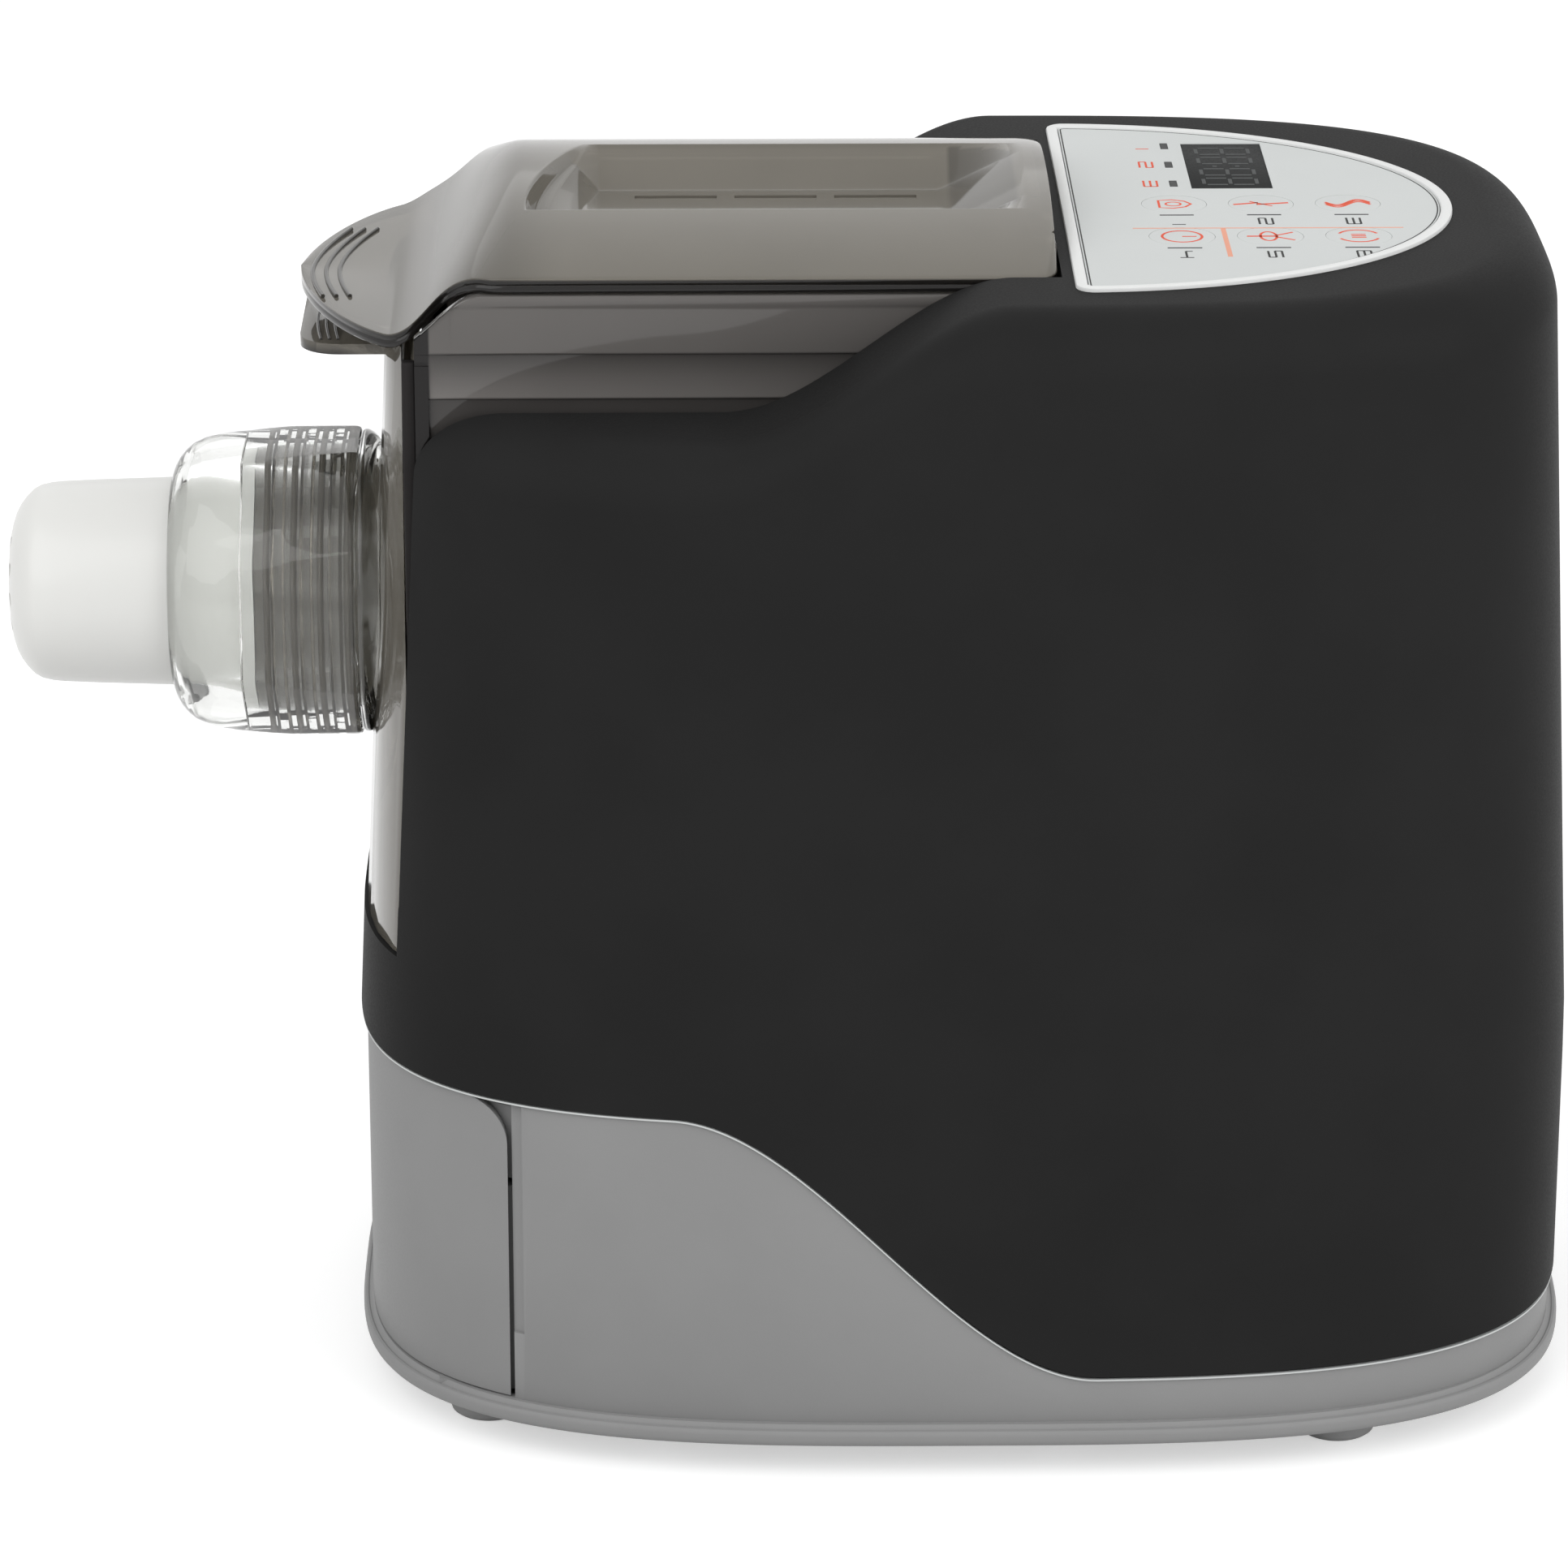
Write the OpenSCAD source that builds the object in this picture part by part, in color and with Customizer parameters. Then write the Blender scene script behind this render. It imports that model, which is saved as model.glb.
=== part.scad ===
// Electric pasta maker: mixing bowl over a horizontal extrusion screw, geared motor behind it,
// storage drawer under it. X runs from the die (-) to the back (+), Z is up, the table is z = 0.

/* [Body] */
// Length of the outer shell at its widest level
body_len = 277.6; // [265:0.2:300]
// Width of the outer shell at its widest level
body_wid = 193; // [186:0.5:215]
// Roundness of the plan outline, 2 is an ellipse and higher is squarer
squareness = 3.2; // [2.8:0.1:4]
// Height of the rear deck above the table
deck_z = 267; // [262:0.5:285]
// Height of the two low cheeks beside the bowl
cheek_z = 236.8; // [228:0.2:242]
// Radius of the rounded upper shoulder
shoulder_r = 14; // [8:0.5:18]
// Wall thickness of the outer shell
shell_wall = 2.6; // [2:0.1:4]
// Inward lean of the front and back, in mm per mm of height
end_draft = 0.048; // [0:0.002:0.06]
// Inward lean of the sides, in mm per mm of height
side_draft = 0.02; // [0:0.002:0.03]
// Height of the shell's lower edge at the front
front_edge_z = 84.6; // [82:0.2:92]
// Height of the shell's lower edge at the back
rear_edge_z = 22.5; // [20:0.5:30]
// Where the lower edge starts to fall, measured from the base centre
fall_start = -67; // [-75:1:-60]
// Where the lower edge reaches its low stretch
fall_end = 28; // [20:1:40]
// Where the top edge starts to rise from the cheeks
rise_start = -64; // [-72:1:-58]
// Where the top edge reaches the deck
rise_end = 9.5; // [4:0.5:12]

/* [Base] */
// Height of the rubber feet below the tray
foot_h = 7.5; // [5:0.5:12]
// Radius of a rubber foot
foot_r = 9; // [6:0.5:12]
// Thickness of the base tray's floor
floor_t = 3; // [2:0.25:4]
// Height of the flange round the tray
flange_h = 4.5; // [4:0.25:7]
// How far the flange stands out past the base wall
flange_out = 3.5; // [2.5:0.25:5]
// Wall thickness of the base housing
base_wall = 2.5; // [2:0.1:4]
// Radius of the mains cord that the gland takes
cord_r = 3.7; // [3:0.1:4.5]

/* [Drawer] */
// How far the drawer's front reaches back on each side
drawer_edge_x = 35.2; // [30:0.2:40]
// Outer width of the drawer's tray
tray_wid = 156; // [120:1:160]
// Length of the drawer's tray behind its front
tray_len = 98; // [70:1:104]
// Height of the drawer's tray
tray_h = 50; // [30:1:60]
// Wall thickness of the drawer
drawer_wall = 2.2; // [1.6:0.1:3]

/* [Bowl] */
// How much wider the bowl's bay is than the bowl
bay_wid = 5; // [4:0.1:9]
// Outer width of the mixing bowl
bowl_wid = 111; // [104:0.5:111]
// Wall thickness of the bowl
bowl_wall = 2.4; // [1.8:0.1:3]
// Inside length of the bowl
bowl_len = 131; // [120:0.5:132]
// Depth of the screw axis below the rear deck
axis_z = 87.6; // [85:0.2:90]
// Depth of the bowl's rim below the rear deck
rim_z = 4; // [3.8:0.1:7]
// Thickness of the silicone seal in front of the bowl
seal_t = 2.9; // [2:0.1:4]

/* [Front plate and outlet] */
// How much wider the front plate is than the bowl
plate_wid = 4; // [0:0.1:4.4]
// Height of the front plate's lower end
plate_low_z = 110; // [106:0.5:116]
// Wall thickness of the front plate
plate_wall = 3; // [2.4:0.1:4]
// Outer radius of the threaded barrel
barrel_r = 28.8; // [27:0.1:30]
// Wall thickness of the barrel
barrel_wall = 3.2; // [2.5:0.1:4]
// How far the barrel's mouth stands in front of the shell
barrel_reach = 21.2; // [19:0.1:27]
// How far the nut's rim stands out past the barrel
nut_r = 6.4; // [5.4:0.1:8]
// Length of the clear nut
nut_len = 43; // [41:0.2:44]
// How far the nut's front face stands in front of the barrel's mouth
nut_reach = 20; // [19:0.1:26]
// Radius of the die where it leaves the nut
die_r = 23.8; // [22:0.1:25]
// How far the die stands out of the nut
die_out = 37.2; // [25:0.2:45]
// Wall thickness of the die
die_wall = 2.4; // [1.8:0.1:3]
// Thread travel for one turn of the nut
thread_pitch = 6; // [4:0.5:6]

/* [Screw and paddle] */
// Room between the screw's flight and the barrel's bore
flight_r = 1; // [0.6:0.1:3]
// Radius of the screw's core
core_r = 9; // [8:0.25:11]
// Advance of the flight for one turn
flight_pitch = 24; // [18:1:30]
// Thickness of the flight
flight_t = 4; // [3:0.25:6]
// Room between the mixing paddle's blades and the bowl's wall
paddle_r = 4.1; // [2:0.1:12]
// Corner radius of the hexagonal drive end
hex_r = 6; // [5:0.25:7]

/* [Lid] */
// How far the lid reaches past the bowl's side walls
lid_half = 1.5; // [0:0.1:2]
// Height of the lid's crest above the rear deck
lid_top_z = 9; // [5:0.25:13]
// Depth of the lid's side edge below the rear deck
lid_edge_z = 0.4; // [0:0.1:1]
// Depth of the grip tab's edge below the rear deck
tab_z = 13.6; // [11:0.2:15]
// How far the grip tab's tip stands in front of the shell
tab_reach = 10.6; // [6:0.1:14]
// How far the lid is drawn in on each side, behind its grip tab
waist = 6.5; // [0:0.25:8]
// Thickness of the lid
lid_t = 2.2; // [1.8:0.1:3]
// Height of the lip that hangs round the lid's edge
lip_h = 3.2; // [2.6:0.1:3.4]
// Depth of the water trough
trough_deep = 9; // [5:0.5:12]

/* [Control panel] */
// Half width of the control panel
panel_half = 70; // [60:0.5:72]
// Length of the control panel
panel_len = 87.7; // [80:0.2:92]
// Width of the white trim round the panel
trim_w = 2.6; // [2:0.1:4]
// Height of the trim above the deck
trim_up = 0.9; // [0.4:0.1:2]
// Radius of a key
key_r = 7.2; // [5:0.1:8]
// Travel of a key
key_travel = 0.5; // [0.3:0.1:1]

/* [Drive] */
// Module of the first gear pair
mod_1 = 1; // [0.8:0.1:1]
// Module of the output gear pair
mod_2 = 1.25; // [1:0.05:1.25]
// Teeth on the motor's pinion
pinion_teeth = 14; // [12:1:16]
// Teeth on the intermediate gear
middle_teeth = 70; // [60:1:72]
// Teeth on the intermediate pinion
middle_pinion_teeth = 15; // [13:1:17]
// Teeth on the output gear
output_teeth = 75; // [65:1:76]
// Play between the teeth
backlash = 0.25; // [0.15:0.05:0.4]
// Radius of the motor
motor_r = 41; // [35:0.5:43]
// Length of the motor
motor_len = 62; // [50:1:64]

/* [Hidden] */

$fn = 64;
ring_points = 80;           // points round the plan outline
wall_rings = 4;             // levels up the wall of the shell
roll_rings = 5;             // levels round the shoulder
fit = 0.05;                 // radial play of a running fit
gap = 0.3;                  // play between parts that only rest on each other
step = 0.01;                // overrun of a cut past its face

front_x = -body_len / 2;    // foremost line of the shell
back_x = body_len / 2;
mouth_x = front_x - barrel_reach;
nut_x = mouth_x - nut_reach;
tip_x = front_x - tab_reach;
axis_h = deck_z - axis_z;
rim_h = deck_z - rim_z;
lid_crest_h = deck_z + lid_top_z;
lid_edge_h = deck_z - lid_edge_z;
tab_h = deck_z - tab_z;
nut_rim = barrel_r + nut_r;
flight_reach = barrel_r - barrel_wall - flight_r;
far = 400;                  // overrun of a cut that passes through everything

tray_z = foot_h;
tray_top = tray_z + floor_t;
runner_h = 1.8;             // height of the runners under the drawer
flange_top = tray_z + flange_h;
base_half = body_len / 2 - 1.3;
base_side = body_wid / 2 - 0.5;
rim_half = base_half + flange_out * 0.65;
rim_side = base_side + flange_out;
base_x = (die_out - nut_x - rim_half) / 2;
drawer_edge = front_x + drawer_edge_x;
drawer_x = 11.5 - base_half;              // the drawer's length counts from here
drawer_back = drawer_x + tray_len;
wall_x = drawer_back + 8;                 // cross wall of the housing behind the drawer
wall_t = 2.5;

bowl_front = front_x + 16.8;              // open end of the bowl
bowl_back = bowl_front + bowl_len;
bay_back = bowl_back + 9.5;               // rear wall of the bowl's bay
bowl_r = bowl_wid / 2;
bay_side = bowl_r + bay_wid / 2;
bay_floor = axis_h - bowl_r - 2.4;
plate_side = bowl_r + plate_wid / 2;
lid_side = bowl_r + lid_half;
paddle_reach = bowl_r - bowl_wall - paddle_r;
plate_back = bowl_front - seal_t - gap;
plate_inset = 0.8;          // the plate stands this far behind the shell's front
plate_top = tab_h - lip_h - 1.6;
ring_front = nut_x + nut_len + 1.2;
ring_back = ring_front + 4.4;

panel_x = bay_back + 2.5;   // front edge of the control panel
panel_corner = 4;           // radius of the panel's two front corners
panel_end = panel_x + panel_len;
key_cols = [panel_end - 62.2, panel_end - 42.7, panel_end - 23.2];
key_rows = [0, -27];
window_at = [panel_end - 48.1, panel_half / 2 - 2];
window_size = [18.4, panel_half - 30.3];
lamp_at = [for (y = [-16.5, 0, 16.5]) [panel_end - 61.2, window_at[1] + 1 - y]];
lamp_size = [1.8, 5.4];
overlay_top = deck_z + 0.4;
overlay_t = 1.2;
key_t = 1.6;
trim_lap = 1.4;             // how far the trim laps over the deck
panel_floor = deck_z - 3.6;
panel_floor_t = overlay_top - overlay_t - panel_floor;
key_sink = 1.1;             // depth of the pocket under a key
switch_top = deck_z - 9.6;
board_z = deck_z - 14.6;
board_t = 1.6;
board_side = panel_half - 12;
board_holes = [[panel_x + 9, board_side - 8], [panel_x + 9, 8 - board_side], [panel_end - 20.7, 26],
    [panel_end - 13.7, -14]];

hinge_at = [bay_back - 3.3, lid_crest_h - 7.7];
hinge_pin_r = 1.75;
hinge_y = 36;
hinge_ear = 6;

case_front = bay_back + 6.5;
case_t = 3;
case_back = case_front + 33;
case_low = [-48, axis_h - 107.4];
case_bolts = [for (p = [[-44, 101.9], [46, 101.9], [-43.5, 41.4], [48.5, 26.4]]) [p[0], axis_h - p[1]]];
out_gear_x = case_front + 7;
out_gear_t = 12;
mid_gear_x = case_front + 21;
mid_gear_t = 8;
mid_drop = 54.6;
out_reach = (output_teeth + middle_pinion_teeth) * mod_2 / 2;
mid_reach = (pinion_teeth + middle_teeth) * mod_1 / 2;
mid_turn = -asin(mid_drop / out_reach);
mid_at = [out_reach * cos(mid_turn), axis_h + out_reach * sin(mid_turn)];
motor_at = [0, mid_at[1] - sqrt(mid_reach * mid_reach - mid_at[0] * mid_at[0])];
shaft_r = 7;
motor_shaft_r = 4;
axle_r = 4;
motor_x = case_back + case_t + gap;
motor_end = motor_x + motor_len;

gland_at = [30, 48];
gland_x = back_x - 2.6;     // seat of the gland's outer flange
board_at = [case_front + 9, motor_r + 21];
lid_back = bay_back - 0.8;
nose_x = bowl_front + 14;   // where the lid's straight sides end
nose_rim = bowl_front + 28; // line of the grid that follows the trough's nose
trough_back = lid_back - 5.3;
trough_ramp = 18;
slots_x = [bowl_front + 47.5, bowl_front + 70, bowl_front + 92.5];
slot_w = 2.6;
magnet_x = bay_back - 6.5;
magnet_t = 3.5;
magnet_r = 2.4;
magnet_at = [-20, deck_z + 1];
// Share of the lid's half width at each line along it: edges, shoulders, trough rims and trough floor
lid_lines = [-1, -0.97, -0.92, -0.84, -0.74, -0.62, -0.5, -0.35, -0.1,
    0.1, 0.28, 0.46, 0.6, 0.74, 0.84, 0.92, 0.97, 1];
trough_lines = [for (i = [0 : len(lid_lines) - 1]) i >= 7 && i <= 10];
lid_places = concat([for (a = [84, 72, 62, 53, 44, 36, 29, 23, 18, 13.5, 9.5, 6, 3])
        nose_x + (tip_x - nose_x) * sin(a)],
    [for (d = [14, 17.5, 21, 24.5, 28, 29, 37, 62, 92]) bowl_front + d],
    [trough_back - trough_ramp, trough_back, lid_back - 3.4, lid_back - lid_t, lid_back - lid_t + 0.05,
    lid_back - 0.8, lid_back]);
feet_at = [for (s = [-1, 1]) each [[base_half - 54, 74 * s], [28.5 - base_half, 61 * s]]];
screws_at = [for (s = [-1, 1]) each [[67.5 - base_half, 86.5 * s], [bay_back + 1.5, 88 * s],
    [base_half - 33.5, 68 * s]]];

// Smooth step from 0 at one place to 1 at another
function ease(x, from, to) = let (t = min(1, max(0, (x - from) / (to - from)))) t * t * (3 - 2 * t);

// Lower and upper edge of the shell at a place along its length
function low_z(x) = front_edge_z + (rear_edge_z - front_edge_z) * ease(x, fall_start, fall_end);
function top_z(x) = cheek_z + (deck_z - cheek_z) * ease(x, rise_start, rise_end);

// Half length and half width of the shell at a height
function half_len(z) = body_len / 2 - end_draft * max(0, z - front_edge_z);
function half_wid(z) = body_wid / 2 - side_draft * max(0, z - front_edge_z);

// Point of the plan outline in direction t, and the whole outline
function plan(a, b, t) = let (n = squareness,
    r = pow(pow(abs(cos(t)) / a, n) + pow(abs(sin(t)) / b, n), -1 / n)) [r * cos(t), r * sin(t)];
function outline(a, b) = [for (i = [0 : ring_points - 1]) plan(a, b, 360 * i / ring_points)];

module at_base() {
    translate([base_x, 0, 0]) children();
}

// Place along the length of the shell's lower edge in direction t
function edge_x(t) = plan(body_len / 2, body_wid / 2, t)[0];

// Extrudes a shape drawn in (Y, Z) along X
module along_x(from, to) {
    translate([from, 0, 0]) rotate([90, 0, 90]) linear_extrude(to - from) children();
}

// Extrudes a shape drawn in (X, Z) across the width
module across(half) {
    translate([0, half, 0]) rotate([90, 0, 0]) linear_extrude(2 * half) children();
}

// Extrudes a shape drawn in (X, Z) over a width centred on y
module across_at(y, width) {
    translate([0, y + width / 2, 0]) rotate([90, 0, 0]) linear_extrude(width) children();
}

module rod(from, to, r, at = [0, 0]) {
    along_x(from, to) translate(at) circle(r);
}

module box(low, high) {
    translate(low) cube(high - low);
}

// Upright band that follows the plan outline
module band(a, b, wall, low, high) {
    translate([0, 0, low]) linear_extrude(high - low) difference() {
        polygon(outline(a, b));
        polygon(outline(a - wall, b - wall));
    }
}

// Everything under the shell's lower edge, moved up by rise
module under_edge(rise) {
    across(body_wid) polygon(concat([[far, 0], [-far, 0], [-far, front_edge_z + rise]],
        [for (i = [ring_points / 2 : -1 : 0]) let (x = edge_x(360 * i / ring_points)) [x, low_z(x) + rise]],
        [[far, rear_edge_z + rise]]));
}

// One ring of the shell's block: up the leaning wall, then round the shoulder
function block_ring(k, inset, under, drop) = [for (i = [0 : ring_points - 1])
    let (t = 360 * i / ring_points,
        x = plan(half_len(deck_z), half_wid(deck_z), t)[0],
        foot = low_z(edge_x(t)) - under,
        r = shoulder_r - drop,
        brow = top_z(x) - drop - r,
        roll = max(0, (k - wall_rings) * 90 / roll_rings),
        z = k <= wall_rings ? foot + (brow - foot) * k / wall_rings : brow + r * sin(roll),
        back = inset + r * (1 - cos(roll)),
        p = plan(half_len(z) - back, half_wid(z) - back, t)) [p[0], p[1], z]];

// Closed block between the lower and upper edge of the shell
module block(inset, under, drop) {
    n = ring_points;
    rings = wall_rings + roll_rings;
    top = rings * n;
    polyhedron(
        points = [for (k = [0 : rings]) each block_ring(k, inset, under, drop)],
        faces = concat(
            [for (k = [0 : rings - 1]) for (i = [0 : n - 1]) let (a = k * n + i, b = k * n + (i + 1) % n)
                each [[a, a + n, b + n], [a, b + n, b]]],
            [for (i = [0 : n / 2 - 1]) let (j = (n - i) % n, m = n - i - 1)
                each (i == 0 ? [[0, 1, m]] : i == n / 2 - 1 ? [[i, i + 1, j]] : [[i, i + 1, m], [i, m, j]])],
            [for (i = [0 : n / 2 - 1]) let (j = (n - i) % n, m = n - i - 1)
                each (i == 0 ? [[top, top + m, top + 1]] : i == n / 2 - 1 ? [[top + i, top + j, top + i + 1]]
                    : [[top + i, top + m, top + i + 1], [top + i, top + j, top + m]])]));
}

// Half ellipse of the control panel with rounded front corners, grown by extra
module panel_shape(extra) {
    a = panel_len + extra;
    b = panel_half + extra;
    r = max(1, panel_corner + extra);
    sweep = acos((r - extra) / a);
    corner = [for (u = [105 : 15 : 180]) [r - extra + r * cos(u), b * sin(sweep) - r + r * sin(u)]];
    translate([panel_x, 0]) polygon(concat(
        [for (i = [-24 : 24]) [a * cos(i * sweep / 24), b * sin(i * sweep / 24)]],
        corner, [for (i = [len(corner) - 1 : -1 : 0]) [corner[i][0], -corner[i][1]]]));
}

module feet() {
    color("#6f6f6f") at_base() for (p = feet_at) translate([p[0], p[1], 0]) {
        cylinder(r1 = foot_r - 1, r2 = foot_r, h = 1);
        translate([0, 0, 1]) cylinder(r = foot_r, h = foot_h - 1);
        cylinder(r = 3, h = foot_h + floor_t);
    }
}

module base_tray() {
    vent_w = 3;
    color("#8f8f8f") at_base() difference() {
        union() {
            translate([0, 0, tray_z]) linear_extrude(floor_t) polygon(outline(rim_half, rim_side));
            band(rim_half, rim_side, flange_out * 0.6, tray_z, flange_top);
            for (s = [-1, 1]) {
                box([drawer_x + 6, s * (tray_wid / 2 - 8) - 2, tray_top - step],
                    [drawer_back + 4, s * (tray_wid / 2 - 8) + 2, tray_top + runner_h]);
                box([drawer_x + 30, s * (tray_wid / 2 + 1.6) - 1, tray_top - step],
                    [drawer_back + 4, s * (tray_wid / 2 + 1.6) + 1, tray_top + 8]);
            }
        }
        for (p = feet_at) translate([p[0], p[1], 0]) cylinder(r = 3 + fit, h = 30);
        for (p = screws_at) translate([p[0], p[1], 0]) {
            cylinder(r = 1.8, h = 30);
            translate([0, 0, tray_z - step]) cylinder(r = 3.6, h = 1.6);
        }
        for (i = [-5 : 5]) box([base_half - 49.5, i * 7 - vent_w / 2, 0],
            [base_half - 15.5, i * 7 + vent_w / 2, 30]);
    }
}

module base_housing() {
    lip_half = body_len / 2 - shell_wall - 2 * gap;
    lip_side = body_wid / 2 - shell_wall - 2 * gap;
    color("#8c8c8c") at_base() difference() {
        union() {
            intersection() {
                under_edge(-gap);
                band(base_half, base_side, base_wall, tray_top, front_edge_z);
            }
            intersection() {
                difference() {
                    under_edge(6);
                    under_edge(-8);
                }
                band(lip_half, lip_side, base_wall, flange_top, front_edge_z + 6);
            }
            intersection() {
                difference() {
                    under_edge(-gap);
                    under_edge(-8);
                }
                band(base_half, base_side, base_side - lip_side + base_wall, flange_top, front_edge_z);
            }
            box([wall_x, -base_side + 4, tray_top], [wall_x + wall_t, base_side - 4, front_edge_z - 6.6]);
            for (p = screws_at) translate([p[0], p[1], tray_top]) cylinder(r = 4.6, h = 10);
            for (p = screws_at) box([p[0] - 1.5, min(p[1], sign(p[1]) * (outline_y(p[0]) - 1)), tray_top],
                [p[0] + 1.5, max(p[1], sign(p[1]) * (outline_y(p[0]) - 1)), tray_top + 10]);
        }
        box([-far, -body_wid, 0], [drawer_edge + 1, body_wid, far]);
        for (s = [-1, 1]) box([-far, s * (base_side + 4) - 5.2, tray_top + 18],
            [drawer_edge + 3.3, s * (base_side + 4) + 5.2, far]);
        for (p = screws_at) translate([p[0], p[1], 0]) cylinder(r = 1.4, h = tray_top + 9);
    }
}

// Half width of the base wall at a place along its length
function outline_y(x) = base_side * pow(1 - pow(abs(x) / base_half, squareness), 1 / squareness);

module base_screws() {
    color("silver") at_base() for (p = screws_at) translate([p[0], p[1], tray_z]) {
        cylinder(r = 3.3, h = 1.4);
        cylinder(r = 1.35, h = 11);
    }
}

// Room for the drawer's tray: inside the housing's walls, and grown by extra in front of them
module tray_room(inset, extra) {
    room = base_wall + gap + inset;
    polygon(outline(base_half - room, base_side - room));
    intersection() {
        polygon(outline(base_half + extra, base_side + extra));
        translate([-far, -body_wid]) square([far + drawer_edge, 2 * body_wid]);
    }
}

module storage_drawer() {
    low = tray_top + runner_h + gap;
    top = front_edge_z - 0.6;
    corner = 10;
    color("#929292") at_base() {
        intersection() {
            band(base_half, base_side, drawer_wall, low, top);
            across(body_wid) {
                translate([-far, low]) square([far + drawer_edge - corner, top - low]);
                translate([-far, low]) square([far + drawer_edge, top - low - corner]);
                translate([drawer_edge - corner, top - corner]) circle(corner);
            }
        }
        translate([0, 0, low]) difference() {
            linear_extrude(tray_h) intersection() {
                tray_room(0, -1);
                translate([-far, -tray_wid / 2]) square([far + drawer_back, tray_wid]);
            }
            translate([0, 0, drawer_wall]) linear_extrude(tray_h) intersection() {
                tray_room(drawer_wall, 5);
                translate([-far, drawer_wall - tray_wid / 2])
                    square([far + drawer_back - drawer_wall, tray_wid - 2 * drawer_wall]);
            }
        }
    }
}

module bay(wall) {
    box([-far, -bay_side - wall, bay_floor - wall], [bay_back + wall, bay_side + wall, far]);
}

module body_shell() {
    color("#2c2c2c") at_base() difference() {
        union() {
            difference() {
                block(0, 0, 0);
                difference() {
                    block(shell_wall, 12, shell_wall);
                    bay(shell_wall);
                }
                bay(0);
                box([-far, -plate_side - gap, plate_low_z - gap],
                    [bowl_front + 22, plate_side + gap, far]);
                translate([0, 0, deck_z - 8]) linear_extrude(20) panel_shape(gap - trim_lap);
            }
            for (x = [bowl_front + 22, bowl_front + 102]) difference() {
                box([x, -40, bay_floor - 1], [x + 3, 40, axis_h - 40]);
                rod(x - 1, x + 4, bowl_r + gap, [0, axis_h]);
            }
        }
        rod(bay_back - 1, bay_back + 8, 13, [0, axis_h]);
        for (i = [-4 : 4]) box([back_x - 18.8, i * 8 - 1.5, 62], [far, i * 8 + 1.5, 104]);
        rod(back_x - 18.8, far, 7 + fit, gland_at);
        rod(gland_x, far, 9.5 + gap, gland_at);
    }
}

module cord_gland() {
    color("#1e1e1e") at_base() difference() {
        union() {
            rod(gland_x - 6.2, gland_x + 3, 7, gland_at);
            rod(gland_x, gland_x + 3, 9.5, gland_at);
            rod(gland_x - 6.2, gland_x - 2.9, 9, gland_at);
        }
        rod(0, far, cord_r, gland_at);
    }
}

// Rim, crest and half width of the lid at a place along its length, and its skin across
function lid_rim(x) = tab_h + (lid_edge_h - tab_h) * ease(x, front_x + 9.8, front_x + 31.8);
function lid_crest(x) = max(lid_rim(x) + 0.2,
    tab_h + 0.6 + (lid_crest_h - tab_h - 0.6) * ease(x, front_x + 10.8, front_x + 38.8));
function lid_width(x) = x > lid_back - 6 ? lid_side - 6 + sqrt(max(0, 36 - pow(x - lid_back + 6, 2)))
    : lid_side * pow(1 - pow(max(0, (bowl_front - x) / (bowl_front - tip_x)), 1.6), 0.66)
        - waist * exp(-pow((x - bowl_front - 6.5) / 6, 2));
function lid_skin(x, f) = lid_rim(x) + (lid_crest(x) - lid_rim(x)) * pow(1 - pow(abs(f), 2.4), 0.9);

// Share of the way from the trough's far side to its near side
function nearness(f) = min(1, max(0, (0.46 - f) / 0.96));

// Front end of the trough, which curves from the far side to the near side, and its floor's front line
function trough_nose(f) = bowl_front + 35.5 - 12 * sin(90 * nearness(f));
function floor_line(f) = bowl_front + 35 + 4.4 * pow(min(1, max(0, (f + 0.35) / 0.63)), 2);

// Place of one crossing of the lid's lines, moved so that lines follow the trough's nose and floor
function lid_x(x, f) = x <= nose_x || x >= bowl_front + 62 ? x
    : x > nose_rim + 5 ? floor_line(f)
    : x > nose_rim + 0.5 ? trough_nose(f) + 1.6
    : nose_x + (x - nose_x) * (trough_nose(f) - nose_x) / (nose_rim - nose_x);

// How deep the trough is at one crossing: a low wall at its nose, then a ramp to the floor
function trough_at(x, i) = !trough_lines[i] || x < nose_rim + 0.5 ? 0
    : x < nose_rim + 5 ? 2 + 4 * nearness(lid_lines[i])
    : trough_deep * min(1, max(0, (trough_back - x) / trough_ramp));

// Closed outline across the lid: over the top, down the lip, back under the skin
function lid_loop(x) = let (n = len(lid_lines), wall = x < tip_x + 1.5 || x > lid_back - lid_t)
    concat([for (i = [0 : n - 1]) let (f = lid_lines[i], p = lid_x(x, f))
            [p, lid_width(p) * f, lid_skin(p, f) - trough_at(x, i)]],
        lid_lip(x, 1),
        [for (i = [n - 1 : -1 : 0]) let (f = lid_lines[i], p = lid_x(x, f), low = lid_rim(p) - lip_h)
            [p, (lid_width(p) - lid_t) * f,
                wall ? low : max(low, lid_skin(p, f) - trough_at(x, i) - lid_t)]],
        [for (p = [1, 0]) lid_lip(x, -1)[p]]);
function lid_lip(x, s) = let (p = lid_x(x, s), low = lid_rim(p) - lip_h)
    [[p, s * lid_width(p), low], [p, s * (lid_width(p) - lid_t), low]];

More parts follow.
